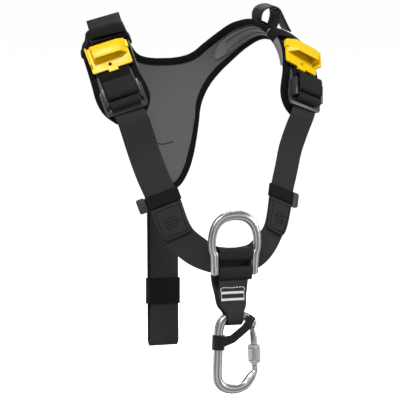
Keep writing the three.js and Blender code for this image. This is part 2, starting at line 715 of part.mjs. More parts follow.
// Elastic band round the strap, and the slider plate behind it with a thick outer end.
const BAND = { at: 0.635, width: WEB_WIDTH + 5, depth: 6.6, height: 18 };
const band = flatSleeve(BAND.width, BAND.depth, BAND.height, ELASTIC_THICKNESS);
band.translate(0, -BAND.height / 2, 0);
addPair("strap_band", seatOnChest(band, BAND.at), "elastic");

const SLIDER = { plate: 1.4, endWidth: 12, endHeight: 21, endDepth: 5 };

function slider() {
  const back = -BAND.depth / 2 - GAP - SLIDER.plate;
  const outer = BAND.width / 2 + GAP;
  const reach = outer + SLIDER.endWidth;
  const plate = new THREE.BoxGeometry(reach + 18, SLIDER.endHeight - 4, SLIDER.plate);
  plate.translate((reach - 18) / 2, 0, back + SLIDER.plate / 2);
  const end = extruded(roundedShape(SLIDER.endWidth, SLIDER.endHeight, 3), SLIDER.endDepth);
  end.translate(outer + SLIDER.endWidth / 2, 0, back);
  return joined(plate, end);
}

addPair("strap_slider", seatOnChest(slider(), BAND.at), "greyPlastic");

// Buckle: a plate with a window, lying over the top of the chest strap, and a pair of bars above it that
// carry the rolled webbing.
const BUCKLE = { station: 0.87, tilt: -7, width: 62, top: 22, bottom: -16, plate: 2.6 };
const BUCKLE_RIM = { side: 6, lower: 9 };
const BUCKLE_BAR = { r: 2, upper: 19 };
const ROLL = { width: 44, bore: 2.8 };
const LOWER_ROLL = { height: 11.5, depth: 10 };
const UPPER_ROLL = { height: 28, depth: 12, shift: 3 };
const BUCKLE_LIFT = WEB_TOP + 3.6;
const BAR_HEIGHT = BUCKLE.plate + GAP + UPPER_ROLL.depth / 2;

function buckleFrame() {
  const { width, top, bottom, plate } = BUCKLE;
  const height = top - bottom;
  const whole = extruded(roundedShape(width, height, 6), plate).translate(0, (top + bottom) / 2, 0);
  const open = height - BUCKLE_RIM.side - BUCKLE_RIM.lower;
  const opening = extruded(roundedShape(width - 2 * BUCKLE_RIM.side, open, 3), plate + 2);
  return cut(whole, opening.translate(0, bottom + BUCKLE_RIM.lower + open / 2, -1));
}

function buckleBars() {
  const { r, upper } = BUCKLE_BAR;
  const side = ROLL.width / 2 + r + 2 * GAP;
  const end = side + r;
  const bars = [0, upper].map((y) => rod(V(-end, y, BAR_HEIGHT), V(end, y, BAR_HEIGHT), r, 8));
  const low = BUCKLE.plate + GAP;
  const high = BAR_HEIGHT + r + 1;
  const cheeks = [-1, 1].map((edge) => {
    const cheek = new THREE.BoxGeometry(2 * r, upper + 4 * r, high - low);
    return cheek.translate(edge * (side + 0.6), upper / 2, (low + high) / 2);
  });
  return joined(...cheeks, ...bars);
}

// Webbing rolled round a bar: an oval with a bore, drawn along x.
function webRoll(width, height, depth, shift = 0) {
  const shape = roundedShape(depth, height, depth / 2 - 0.05, -shift);
  const bore = new THREE.Path();
  bore.absarc(0, 0, ROLL.bore, 0, Math.PI * 2, true);
  shape.holes.push(bore);
  return extruded(shape, width, 3).translate(0, 0, -width / 2).rotateY(Math.PI / 2);
}

const onBuckle = (geometry) => seatOnPad(geometry.rotateX(rad(BUCKLE.tilt)), BUCKLE.station, 0.5, BUCKLE_LIFT);
const lowerRoll = webRoll(ROLL.width, LOWER_ROLL.height, LOWER_ROLL.depth).translate(0, 0, BAR_HEIGHT);
const upperRoll = webRoll(ROLL.width, UPPER_ROLL.height, UPPER_ROLL.depth, -UPPER_ROLL.shift);
upperRoll.translate(0, BUCKLE_BAR.upper, BAR_HEIGHT);
addPair("buckle_frame", onBuckle(buckleFrame()), "darkMetal");
addPair("buckle_bars", onBuckle(buckleBars()), "darkMetal");
addPair("buckle_roll_lower", onBuckle(lowerRoll), "webbing");
addPair("buckle_roll_upper", onBuckle(upperRoll), "webbing");

// The front centre: everything below lies round one plane in front of the breastbone.
const FRONT_Y = -1.47 * TRUNK_HALF_DEPTH;

// A rod with a many-sided section along a line in the front plane. Rows are x, z and radius, in millimetres.
function frontRod(rows, depthShare = 1, looped = false, sides = 8) {
  const rings = rows.map((row, i) => {
    const count = rows.length;
    const ahead = rows[looped ? (i + 1) % count : Math.min(i + 1, count - 1)];
    const behind = rows[looped ? (i - 1 + count) % count : Math.max(i - 1, 0)];
    const side = V(ahead.z - behind.z, 0, behind.x - ahead.x).normalize();
    return Array.from({ length: sides }, (_, k) => {
      const angle = ((k + 0.5) / sides) * Math.PI * 2;
      const offset = side.clone().multiplyScalar(Math.cos(angle) * row.r);
      return V(row.x + offset.x, FRONT_Y + Math.sin(angle) * row.r * depthShare, row.z + offset.z);
    });
  });
  return loft(rings, looped);
}

// Sternal ring: a forged eye with two cross bars. Rows are shares of its half width and of its height.
const RING = { top: -1.038 * BACK_DROP, height: 82, halfWidth: 36.5, r: 5.2, depthShare: 0.88, bar: 3.1 };
const RING_BARS = { upper: 0.67, lower: 1 };
const RING_ROWS = [
  { side: 0.3, drop: 0 },
  { side: 0.66, drop: 0.07 },
  { side: 0.87, drop: 0.18 },
  { side: 0.98, drop: 0.33 },
  { side: 1, drop: 0.48 },
  { side: 0.97, drop: 0.62 },
  { side: 0.91, drop: 0.78 },
  { side: 0.9, drop: 1.03 },
];

function sternalRing() {
  const half = RING_ROWS.map((row) => ({
    x: row.side * RING.halfWidth,
    z: RING.top - row.drop * RING.height,
    r: RING.r,
  }));
  const other = half.map((row) => ({ ...row, x: -row.x })).reverse();
  const hoop = frontRod([...other, ...half], RING.depthShare);
  const bars = [RING_BARS.upper, RING_BARS.lower].map((drop) => {
    const z = RING.top - drop * RING.height;
    return rod(V(-RING.halfWidth * 0.92, FRONT_Y, z), V(RING.halfWidth * 0.92, FRONT_Y, z), RING.bar, 8);
  });
  return joined(hoop, ...bars);
}

add("sternal_ring", sternalRing(), "bright");

const RING_ROLL = { width: 50, height: 18.6, depth: 10.2, bore: 4 };

function ringRoll() {
  const { width, height, depth, bore } = RING_ROLL;
  const shape = roundedShape(depth, height, depth / 2 - 0.05);
  const hole = new THREE.Path();
  hole.absarc(0, 0, bore, 0, Math.PI * 2, true);
  shape.holes.push(hole);
  return extruded(shape, width, 3).translate(0, 0, -width / 2).rotateY(Math.PI / 2).rotateX(Math.PI / 2);
}

add("ring_roll_upper", ringRoll().translate(0, FRONT_Y, RING.top - RING_BARS.upper * RING.height), "webbing");
add("ring_roll_lower", ringRoll().translate(0, FRONT_Y, RING.top - RING_BARS.lower * RING.height), "webbing");

// The panel and what hangs from it are drawn for a lower bar at this height, and move with the bar.
const DRAWN_BAR_Z = -341.5;
const hung = (shape) => shape.translate(0, 0, RING.top - RING_BARS.lower * RING.height - DRAWN_BAR_Z);

// Panel below the ring: front layer, loop round the connector and wider back layer. The heights are in
// millimetres, like those of the connector that it holds.
const PANEL_ROWS = [
  { y: -1.495, z: -351.125, wide: 1.04 },
  { y: -1.515, z: -375, wide: 0.97 },
  { y: -1.53, z: -387.5, wide: 0.9 },
  { y: -1.548, z: -395.5, wide: 0.66 },
  { y: -1.555, z: -400, wide: 0.56 },
  { y: -1.54, z: -409, wide: 0.54 },
  { y: -1.47, z: -414, wide: 0.54 },
  { y: -1.4, z: -409, wide: 0.54 },
  { y: -1.38, z: -398.75, wide: 0.56 },
  { y: -1.385, z: -387.5, wide: 0.9 },
  { y: -1.4, z: -370, wide: 1.05 },
  { y: -1.4, z: -350, wide: 1.3 },
];
const PANEL_THICKNESS = 2.4;
add("sternal_panel", hung(planeBand(PANEL_ROWS, PANEL_THICKNESS, 2, 1)), "webbing");

const TACK = { width: 34, height: 3.6, thickness: 1 };
const TACK_ROWS = { upper: { y: -1.529, z: -368 }, lower: { y: -1.538, z: -377.5 } };
for (const level of ["upper", "lower"]) {
  const tack = new THREE.BoxGeometry(TACK.width, TACK.thickness, TACK.height);
  const { y, z } = TACK_ROWS[level];
  add(`bar_tack_${level}`, hung(tack.translate(0, y * TRUNK_HALF_DEPTH, z)), "thread");
}

// Connector: an offset oval of round rod from the hinge over the top and down the spine to the nose. Rows
// are x, z and radius, in millimetres.
const SPINE_ROWS = [
  { x: 29, z: -417, r: 5 },
  { x: 28, z: -413, r: 6 },
  { x: 23, z: -407.5, r: 6 },
  { x: 14, z: -403, r: 6 },
  { x: 0, z: -401, r: 6 },
  { x: -13, z: -403.5, r: 6 },
  { x: -21, z: -410.5, r: 6 },
  { x: -24.5, z: -422, r: 6 },
  { x: -25.2, z: -440, r: 6 },
  { x: -26.4, z: -465, r: 6 },
  { x: -27, z: -482, r: 6 },
  { x: -25.5, z: -493, r: 6 },
  { x: -19.5, z: -501, r: 6 },
  { x: -8, z: -505.5, r: 6 },
  { x: 5, z: -505.5, r: 6 },
  { x: 16.5, z: -501, r: 6 },
  { x: 26.5, z: -489.5, r: 6 },
  { x: 31.6, z: -482, r: 4.2 },
  { x: 31.3, z: -474.2, r: 4.1 },
];
const PIVOT = { x: 29.3, z: -424, r: 4, tongue: 3 };
const GATE = { r: 4.8, top: -419.5, bottom: -473, lean: 1.9, slot: 3.9, slotEnd: -429.5 };
const SLEEVE = { r: 9, bore: 5.5, top: -444, bottom: -470 };

// Places on the gate's middle line at a height.
const onGate = (z) => V(PIVOT.x + ((PIVOT.z - z) / (PIVOT.z - GATE.bottom)) * GATE.lean, FRONT_Y, z);

function connectorBody() {
  const eye = rod(
    V(PIVOT.x, FRONT_Y - PIVOT.tongue / 2, PIVOT.z),
    V(PIVOT.x, FRONT_Y + PIVOT.tongue / 2, PIVOT.z),
    PIVOT.r,
    10,
  );
  const neck = new THREE.BoxGeometry(5, PIVOT.tongue, 10).translate(PIVOT.x, FRONT_Y, PIVOT.z + 5);
  return joined(frontRod(SPINE_ROWS), eye, neck);
}

function connectorGate() {
  const whole = rod(onGate(GATE.top), onGate(GATE.bottom), GATE.r, 10);
  const height = GATE.top + 2 - GATE.slotEnd;
  const slot = new THREE.BoxGeometry(14, GATE.slot, height);
  return cut(whole, slot.translate(PIVOT.x, FRONT_Y, GATE.slotEnd + height / 2));
}

add("connector_body", hung(connectorBody()), "bright");
add("connector_gate", hung(connectorGate()), "bright");
add(
  "lock_sleeve",
  hung(
    cut(
      rod(onGate(SLEEVE.top), onGate(SLEEVE.bottom), SLEEVE.r, 12),
      rod(onGate(SLEEVE.top + 2), onGate(SLEEVE.bottom - 2), SLEEVE.bore, 12),
    ),
  ),
  "bright",
);

// Positioner: a clip round the spine with a flat arm in front of the connector. The outline is in x and z.
const CLIP = { r: 9.2, bore: 6.7, top: -428, bottom: -449 };
const ARM = { out: 10.2, thickness: 2.6 };
const ARM_OUTLINE = [
  { x: -27, z: -430 },
  { x: -10, z: -428 },
  { x: 8, z: -415.5 },
  { x: 20.5, z: -400 },
  { x: 28.3, z: -405.5 },
  { x: 19.5, z: -421 },
  { x: -4.6, z: -438.5 },
  { x: -27, z: -446 },
];

function positioner() {
  const along = (z) => V(lerp(-25.2, -26.4, (z + 440) / -25), FRONT_Y, z);
  const clip = rod(along(CLIP.top), along(CLIP.bottom), CLIP.r, 12);
  const bore = rod(along(CLIP.top + 2), along(CLIP.bottom - 2), CLIP.bore, 12);
  const shape = new THREE.Shape(ARM_OUTLINE.map(({ x, z }) => new THREE.Vector2(x, z)));
  const arm = extruded(shape, ARM.thickness).rotateX(Math.PI / 2).translate(0, FRONT_Y - ARM.out + ARM.thickness, 0);
  return cut(joined(clip, arm), bore);
}

add("positioner", hung(positioner()), "blackPlastic");

export default group;
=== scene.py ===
# %% [markdown]
# A chest harness for climbing, shown in the shape it has when it is worn. The CAD frame gives every node
# its place. This script dresses it: foam, binding, ribbed webbing, moulded plastic and forged metal.

# %% The frame
import math
from collections import namedtuple

import bmesh
import bpy
from mathutils import Matrix, Vector


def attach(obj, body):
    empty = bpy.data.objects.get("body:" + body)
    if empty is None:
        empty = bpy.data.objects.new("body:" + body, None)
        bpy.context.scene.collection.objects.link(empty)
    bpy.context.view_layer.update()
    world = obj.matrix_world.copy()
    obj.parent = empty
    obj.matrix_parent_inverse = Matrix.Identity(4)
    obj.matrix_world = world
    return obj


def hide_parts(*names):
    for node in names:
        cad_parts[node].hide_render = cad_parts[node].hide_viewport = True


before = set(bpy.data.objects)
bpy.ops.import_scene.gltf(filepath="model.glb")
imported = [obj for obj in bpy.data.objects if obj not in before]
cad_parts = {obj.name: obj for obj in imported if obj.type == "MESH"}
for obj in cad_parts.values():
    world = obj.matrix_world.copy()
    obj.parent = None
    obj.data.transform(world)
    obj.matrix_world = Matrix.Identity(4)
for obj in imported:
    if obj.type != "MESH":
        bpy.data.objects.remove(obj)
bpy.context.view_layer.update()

scene = bpy.context.scene
MM = 0.001
print("CAD nodes:", len(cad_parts))

# %% [markdown]
# The photograph was taken from in front, a little to the wearer's right and a little above. A long lens
# far away keeps the straps nearly parallel, as in the photograph.

# %% Camera
CAMERA_AZIMUTH = math.radians(-25)
CAMERA_ELEVATION = math.radians(5)
CAMERA_DISTANCE = 5.0
CAMERA_AIM = Vector((0.0029, -0.0252, -0.2474))
PIXELS_PER_MM = 0.694
SENSOR = 36.0
IMAGE_WIDTH = 400

flat_part = math.cos(CAMERA_ELEVATION)
camera_back = Vector(
    (
        math.sin(CAMERA_AZIMUTH) * flat_part,
        -math.cos(CAMERA_AZIMUTH) * flat_part,
        math.sin(CAMERA_ELEVATION),
    )
)
camera_data = bpy.data.cameras.new("camera")
camera_data.sensor_width = SENSOR
camera_data.lens = PIXELS_PER_MM * SENSOR * (CAMERA_DISTANCE / MM) / IMAGE_WIDTH
camera_data.clip_end = 50
camera = bpy.data.objects.new("camera", camera_data)
scene.collection.objects.link(camera)
camera.location = CAMERA_AIM + camera_back * CAMERA_DISTANCE
camera.rotation_mode = "QUATERNION"
camera.rotation_quaternion = (-camera_back).to_track_quat("-Z", "Y")
scene.camera = camera
scene.view_settings.view_transform = "Standard"
print("lens", round(camera_data.lens, 1), "mm")

# %% [markdown]
# The pale floor lies below the harness and reaches so far that it fills the whole picture. A big soft lamp
# lights the front, a weaker one fills the other side, and a third draws the edges from behind.

# %% Floor and lamps
FLOOR_HEIGHT = -0.62
FLOOR_REACH = 80
floor_mesh = bpy.data.meshes.new("floor")
shape = bmesh.new()
bmesh.ops.create_grid(shape, x_segments=1, y_segments=1, size=FLOOR_REACH)
bmesh.ops.translate(shape, verts=shape.verts, vec=(0, 0, FLOOR_HEIGHT))
shape.to_mesh(floor_mesh)
shape.free()
floor = bpy.data.objects.new("floor", floor_mesh)
scene.collection.objects.link(floor)

world = bpy.data.worlds.new("studio")
world.use_nodes = True
world.node_tree.nodes["Background"].inputs["Color"].default_value = (1, 1, 1, 1)
world.node_tree.nodes["Background"].inputs["Strength"].default_value = 0.34
scene.world = world

Lamp = namedtuple("Lamp", "name place aim size power")
LAMPS = [
    Lamp("key", (-1.5, -2.0, 2.6), (0, 0, -0.2), 0.8, 105),
    Lamp("fill", (2.6, -1.6, 0.4), (0, 0, -0.2), 0.8, 34),
    Lamp("rim", (0.8, 2.0, 1.6), (0, 0, -0.1), 1.0, 36),
]
for lamp in LAMPS:
    light = bpy.data.lights.new(lamp.name, "AREA")
    light.size = lamp.size
    light.energy = lamp.power
    stand = bpy.data.objects.new(lamp.name, light)
    stand.location = lamp.place
    aim = Vector(lamp.aim) - Vector(lamp.place)
    stand.rotation_mode = "QUATERNION"
    stand.rotation_quaternion = aim.to_track_quat("-Z", "Y")
    scene.collection.objects.link(stand)
print(len(LAMPS), "lamps")

# %% [markdown]
# Webbing is woven in ribs that run across it, so its texture needs to know which way the strap runs. Each
# strap carries its own UV map in metres, across and along, and the ribs are waves of that map. Forged rods
# use such a map too, for the ridges along them and the painted highlight lines on them. Pad cloth and plastic
# look the same in every direction, so they use Object coordinates.

# %% Making materials
METAL_EDGE = 0.08
YARN_SHARE = 0.45


def gray(value):
    return (value, value, value * 1.04)


def new_material(name, color, roughness, metallic=0.0):
    made = bpy.data.materials.new(name)
    made.use_nodes = True
    shader = made.node_tree.nodes["Principled BSDF"]
    shader.inputs["Base Color"].default_value = (*color, 1)
    shader.inputs["Roughness"].default_value = roughness
    shader.inputs["Metallic"].default_value = metallic
    shader.inputs["Specular IOR Level"].default_value = 0.5 if metallic else 0.3
    if metallic:
        shader.inputs["Specular Tint"].default_value = (*gray(METAL_EDGE), 1)
    made.diffuse_color = (*color, 1)
    return made


def bump(made, height, strength, distance):
    tree = made.node_tree
    node = tree.nodes.new("ShaderNodeBump")
    node.inputs["Strength"].default_value = strength
    node.inputs["Distance"].default_value = distance
    tree.links.new(height, node.inputs["Height"])
    tree.links.new(node.outputs["Normal"], tree.nodes["Principled BSDF"].inputs["Normal"])


def tint(made, factor, low, high):
    tree = made.node_tree
    ramp = tree.nodes.new("ShaderNodeValToRGB")
    ramp.color_ramp.elements[0].color = (*low, 1)
    ramp.color_ramp.elements[1].color = (*high, 1)
    tree.links.new(factor, ramp.inputs["Fac"])
    tree.links.new(ramp.outputs["Color"], tree.nodes["Principled BSDF"].inputs["Base Color"])


def weave_map(tree):
    source = tree.nodes.new("ShaderNodeUVMap")
    source.uv_map = "weave"
    return source.outputs["UV"]


# A wave with a pitch in metres along one direction of the strap's own map.
def waves(tree, source, direction, pitch):
    wave = tree.nodes.new("ShaderNodeTexWave")
    wave.wave_type = "BANDS"
    wave.bands_direction = direction
    wave.inputs["Scale"].default_value = 2 * math.pi / (20 * pitch)
    wave.inputs["Detail"].default_value = 0
    tree.links.new(source, wave.inputs["Vector"])
    return wave.outputs["Fac"]


def woven(name, low, high, rib, yarn, roughness, strength):
    made = new_material(name, high, roughness)
    tree = made.node_tree
    source = weave_map(tree)
    ribs = waves(tree, source, "Y", rib)
    yarns = waves(tree, source, "X", yarn)
    both = tree.nodes.new("ShaderNodeMath")
    both.operation = "MULTIPLY_ADD"
    both.inputs[1].default_value = YARN_SHARE
    tree.links.new(yarns, both.inputs[0])
    tree.links.new(ribs, both.inputs[2])
    bump(made, both.outputs["Value"], strength, 0.0004)
    tint(made, both.outputs["Value"], low, high)
    tree.nodes["Principled BSDF"].inputs["Specular IOR Level"].default_value = 0.09
    return made


def grained(name, low, high, scale, roughness, strength, metallic=0.0):
    made = new_material(name, high, roughness, metallic)
    tree = made.node_tree
    place = tree.nodes.new("ShaderNodeTexCoord")
    noise = tree.nodes.new("ShaderNodeTexNoise")
    noise.inputs["Scale"].default_value = scale
    noise.inputs["Detail"].default_value = 3
    tree.links.new(place.outputs["Object"], noise.inputs["Vector"])
    bump(made, noise.outputs["Fac"], strength, 0.0003)
    tint(made, noise.outputs["Fac"], low, high)
    return made


# Forged bar keeps shallow ridges along its length from the tool, as bumps. Their colour runs dark to light
# across each ridge: painted highlight and shade lines along the bar. Both follow the map across the bar.
def ridged_painted_highlights(name, low, high, pitch, roughness, strength):
    made = new_material(name, high, roughness, 1.0)
    tree = made.node_tree
    ridge_bumps_and_lines = waves(tree, weave_map(tree), "X", pitch)
    bump(made, ridge_bumps_and_lines, strength, 0.0009)
    tint(made, ridge_bumps_and_lines, low, high)
    return made


print("materials can be made")

# %% [markdown]
# Each finish has a dark and a light end, since no worn cloth or metal has one flat colour. On the forged and
# knurled aluminium the two ends are painted highlight and shade lines along the ridges. Cloth adds the
# pitch of its ribs and yarns in metres.

# %% Finishes
MATERIAL = {
    "pad_foam": grained("pad cloth", gray(0.09), gray(0.145), 900, 0.9, 0.5),
    "liner": grained("lining cloth", gray(0.15), gray(0.22), 900, 0.9, 0.4),
    "binding": woven("binding tape", gray(0.003), gray(0.008), 0.0009, 0.0011, 0.85, 0.35),
    "webbing": woven("ribbed webbing", gray(0.013), gray(0.043), 0.0019, 0.0014, 0.7, 0.6),
    "shoulder": woven("shoulder webbing", gray(0.004), gray(0.012), 0.0016, 0.0012, 0.75, 0.4),
    # Webbing wound round bars and folded at the stowed ends is drawn darker than the strap: painted shade.
    "rolled_with_painted_shade": woven("rolled webbing", gray(0.007), gray(0.026), 0.0019, 0.0014, 0.6, 0.6),
    "elastic": woven("elastic", gray(0.004), gray(0.013), 0.0011, 0.0016, 0.85, 0.4),
    "thread": grained("white thread", gray(0.84), gray(0.94), 1400, 0.7, 0.3),
    "dark_thread": grained("dark thread", gray(0.003), gray(0.008), 1400, 0.7, 0.3),
    "yellow_plastic": grained("yellow plastic", (0.86, 0.58, 0.0), (0.92, 0.64, 0.002), 260, 0.36, 0.06),
    "grey_plastic": grained("grey plastic", gray(0.03), gray(0.042), 400, 0.5, 0.1),
    "black_plastic": grained("black plastic", gray(0.005), gray(0.01), 400, 0.42, 0.1),
    "dark_metal": grained("dark metal", gray(0.05), gray(0.08), 300, 0.36, 0.08, 0.45),
    # The aluminium finishes carry painted highlight and shade lines along their ridges.
    "forged_metal_painted_highlights": ridged_painted_highlights("forged aluminium", gray(0.28), gray(0.84), 0.0052, 0.3, 0.45),
    "knurled_metal_painted_highlights": ridged_painted_highlights("knurled aluminium", gray(0.55), gray(0.96), 0.0026, 0.3, 0.5),
    "bright_metal": grained("polished aluminium", gray(0.55), gray(0.7), 240, 0.2, 0.05, 1.0),
}
print(len(MATERIAL), "finishes")

# %% [markdown]
# Behind the harness the floor glows a little, so that it stays white behind the dark straps. Its near part
# is duller, so that they are not lit much from below.

# %% The floor's finish
FLOOR_WHITE = 0.95
floor_material = new_material("pale floor", (0.93, 0.93, 0.93), 0.9)
floor_shader = floor_material.node_tree.nodes["Principled BSDF"]
floor_shader.inputs["Emission Strength"].default_value = 0.7
floor_tree = floor_material.node_tree
floor_place = floor_tree.nodes.new("ShaderNodeTexCoord")
floor_axes = floor_tree.nodes.new("ShaderNodeSeparateXYZ")
floor_tree.links.new(floor_place.outputs["Object"], floor_axes.inputs["Vector"])
for socket, near in (("Base Color", 0.45), ("Emission Color", 0.0)):
    ramp = floor_tree.nodes.new("ShaderNodeValToRGB")
    ramp.color_ramp.elements[0].color = (near, near, near, 1)
    ramp.color_ramp.elements[1].color = (FLOOR_WHITE, FLOOR_WHITE, FLOOR_WHITE, 1)
    ramp.color_ramp.elements[1].position = 0.4
    floor_tree.links.new(floor_axes.outputs["Y"], ramp.inputs["Fac"])
    floor_tree.links.new(ramp.outputs["Color"], floor_shader.inputs[socket])
floor_mesh.materials.append(floor_material)
print("floor finished")

# %% [markdown]
# Cloth, straps and rods are made from a few measured rows with a smooth curve through them. The curve
# passes through each row and takes its speed from the distance between rows, which avoids loops.

# %% A smooth curve through rows
def smooth(points):
    points = [Vector(p) for p in points]
    last = len(points) - 1

    def at(share):
        place = min(max(share, 0.0), 1.0) * last
        i = min(int(place), last - 1)
        t = place - i
        p1, p2 = points[i], points[i + 1]
        p0 = points[i - 1] if i > 0 else 2 * p1 - p2
        p3 = points[i + 2] if i + 2 <= last else 2 * p2 - p1
        d0, d1, d2 = ((b - a).length ** 0.5 for a, b in ((p0, p1), (p1, p2), (p2, p3)))
        d1 = d1 if d1 > 1e-4 else 1.0
        d0 = d0 if d0 > 1e-4 else d1
        d2 = d2 if d2 > 1e-4 else d1
        start = (p1 - p0) / d0 - (p2 - p0) / (d0 + d1) + (p2 - p1) / d1
        end = (p2 - p1) / d1 - (p3 - p1) / (d1 + d2) + (p3 - p2) / d2
        start, end = start * d1, end * d1
        c2 = 3 * (p2 - p1) - 2 * start - end
        c3 = 2 * (p1 - p2) + start + end
        return p1 + start * t + c2 * t * t + c3 * t * t * t

    return at


def lerp(a, b, t):
    return a + (b - a) * t


# %% [markdown]
# The yoke is one pad from the front of one shoulder over the back to the other. Each row is a line across
# it from the neck side to the outer side, in shares of the trunk's half neck gap, half depth and back drop.

# %% The yoke's surface
NECK_HALF_GAP = 100
TRUNK_HALF_DEPTH = 100
BACK_DROP = 250
WEB_WIDTH = 45
WEB_THICKNESS = 2.0
PAD_THICKNESS = 7.0
BINDING_WIDTH = 10.0
BINDING_THICKNESS = 8.4


def place(x, y, z):
    return Vector((x * NECK_HALF_GAP, y * TRUNK_HALF_DEPTH, z * BACK_DROP))


PadRow = namedtuple("PadRow", "neck_x neck_y neck_z out_x out_y out_z crown", defaults=(4,))
PAD_ROWS = [PadRow(*row) for row in (
    (0, 0.92, -0.192, 0, 0.97, -0.985),
    (0.06, 0.92, -0.192, 0.26, 0.97, -0.955),
    (0.12, 0.915, -0.192, 0.415, 0.97, -0.87),
    (0.18, 0.91, -0.19, 0.495, 0.965, -0.778),
    (0.24, 0.905, -0.188, 0.54, 0.96, -0.688),
    (0.31, 0.895, -0.183, 0.57, 0.95, -0.588),
    (0.39, 0.88, -0.174, 0.59, 0.935, -0.492),
    (0.48, 0.84, -0.152, 0.65, 0.91, -0.412),
    (0.58, 0.775, -0.112, 0.745, 0.87, -0.34),
    (0.7, 0.64, -0.06, 0.87, 0.81, -0.276),
    (0.84, 0.42, 0, 1.01, 0.735, -0.216),
    (0.93, 0.27, 0.016, 1.19, 0.61, -0.14),
    (1, 0.13, 0.018, 1.37, 0.45, -0.088),
    (1.06, -0.01, 0, 1.52, 0.28, -0.1),
    (1.1, -0.15, -0.03, 1.63, 0.11, -0.124),
    (1.13, -0.29, -0.06, 1.7, -0.05, -0.15),
    (1.15, -0.44, -0.108, 1.745, -0.2, -0.184, 3),
    (1.15, -0.58, -0.172, 1.765, -0.33, -0.228, 2),
    (1.12, -0.69, -0.24, 1.765, -0.43, -0.28, 2),
    (1.06, -0.77, -0.3, 1.755, -0.51, -0.338, 2),
    (1.02, -0.82, -0.356, 1.74, -0.57, -0.392, 2),
    (1.03, -0.835, -0.404, 1.7, -0.62, -0.44, 2),
    (1.08, -0.83, -0.45, 1.64, -0.665, -0.478, 2),
    (1.16, -0.81, -0.486, 1.55, -0.71, -0.506, 2),
    (1.27, -0.79, -0.512, 1.43, -0.75, -0.52, 2),
)]
neck_curve = smooth([place(r.neck_x, r.neck_y, r.neck_z) for r in PAD_ROWS])
outer_curve = smooth([place(r.out_x, r.out_y, r.out_z) for r in PAD_ROWS])
LAST_ROW = len(PAD_ROWS) - 1


def crown_rise(share, across):
    row = min(share, 1.0) * LAST_ROW
    i = min(int(row), LAST_ROW - 1)
    return lerp(PAD_ROWS[i].crown, PAD_ROWS[i + 1].crown, row - i) * 4 * across * (1 - across)


def pad_point(station, across):
    share = abs(station)
    neck, outer = neck_curve(share), outer_curve(share)
    chord = (outer - neck).normalized()
    step = 0.01
    ahead = neck_curve(share + step).lerp(outer_curve(share + step), across)
    behind = neck_curve(share - step).lerp(outer_curve(share - step), across)
    normal = (ahead - behind).cross(chord).normalized()
    if share < step:
        normal.x = 0
    point = neck.lerp(outer, across) + normal.normalized() * crown_rise(share, across)
    if station < 0:
        point.x = -point.x
    return point


PadFrame = namedtuple("PadFrame", "point out across up")


def pad_frame(station, across):
    step = 0.012
    along = (pad_point(station + step, across) - pad_point(station - step, across)).normalized()
    side = (pad_point(station, across + 0.02) - pad_point(station, across - 0.02)).normalized()
    out = along.cross(side).normalized()
    return PadFrame(pad_point(station, across), out, side, out.cross(side).normalized())


def on_pad(station, across, lift):
    spot = pad_frame(station, across)
    return spot.point + spot.out * lift


print("yoke from", [round(v) for v in pad_point(0, 0)], "to", [round(v) for v in pad_point(1, 0.5)])

# %% [markdown]
# All new meshes start as grids of points in millimetres with a map in metres. A strap is its middle layer
# with the Solidify modifier for its thickness and a small bevel for its soft edges. That keeps the faces
# even and the ribs straight.


def linked(name, mesh, finish, body="harness"):
    piece = bpy.data.objects.new(name, mesh)
    scene.collection.objects.link(piece)
    mesh.materials.append(MATERIAL[finish])
    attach(piece, body)
    return piece


def mark_sharp(shape, degrees):
    for face in shape.faces:
        face.smooth = True
    for edge in shape.edges:
        if len(edge.link_faces) == 2 and edge.calc_face_angle(0) > math.radians(degrees):
            edge.smooth = False


# A grid of rows of points as a mesh; closed_rows joins the last row to the first, closed_columns likewise.
def grid_mesh(name, rows, closed_rows=False, closed_columns=False, sharp=40):
    shape = bmesh.new()
    layer = shape.loops.layers.uv.new("weave")
    count, columns = len(rows), len(rows[0])
    verts = [[shape.verts.new(Vector(p) * MM) for p in row] for row in rows]
    along = [0.0]
    for i in range(1, count + 1):
        here, before = rows[i % count][columns // 2], rows[i - 1][columns // 2]
        along.append(along[-1] + (Vector(here) - Vector(before)).length * MM)
    side = [0.0]
    middle = rows[count // 2]
    for j in range(1, columns + 1):
        side.append(side[-1] + (Vector(middle[j % columns]) - Vector(middle[j - 1])).length * MM)
    for i in range(count if closed_rows else count - 1):
        for j in range(columns if closed_columns else columns - 1):
            k, m = (i + 1) % count, (j + 1) % columns
            face = shape.faces.new((verts[i][j], verts[k][j], verts[k][m], verts[i][m]))
            spots = ((j, i), (j, i + 1), (j + 1, i + 1), (j + 1, i))
            for loop, (across, down) in zip(face.loops, spots):
                loop[layer].uv = (side[across], along[down])
    bmesh.ops.recalc_face_normals(shape, faces=shape.faces)
    mark_sharp(shape, sharp)
    mesh = bpy.data.meshes.new(name)
    shape.to_mesh(mesh)
    shape.free()
    return mesh, side[columns - 1], along[count if closed_rows else count - 1]


# An editable copy of a mesh with its open ends closed.
def filled(mesh):
    shape = bmesh.new()
    shape.from_mesh(mesh)
    bmesh.ops.holes_fill(shape, edges=[e for e in shape.edges if e.is_boundary])
    return shape


# A cloth piece of its own thickness from the grid of its middle layer.
def cloth(name, nodes, rows, thickness, finish, closed_rows=False):
    mesh, width, _ = grid_mesh(name, rows, closed_rows)
    piece = linked(name, mesh, finish)
    wall = piece.modifiers.new("wall", "SOLIDIFY")
    wall.thickness = thickness * MM
    wall.offset = 0
    wall.use_even_offset = False
    edge = piece.modifiers.new("soft edge", "BEVEL")
    edge.width = min(0.6, thickness * 0.3) * MM
    edge.segments = 2
    edge.limit_method = "ANGLE"
    edge.angle_limit = math.radians(50)
    if nodes:
        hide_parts(*nodes)


def mirrored_rows(rows):
    return [[Vector((-p[0], p[1], p[2])) for p in row] for row in rows]


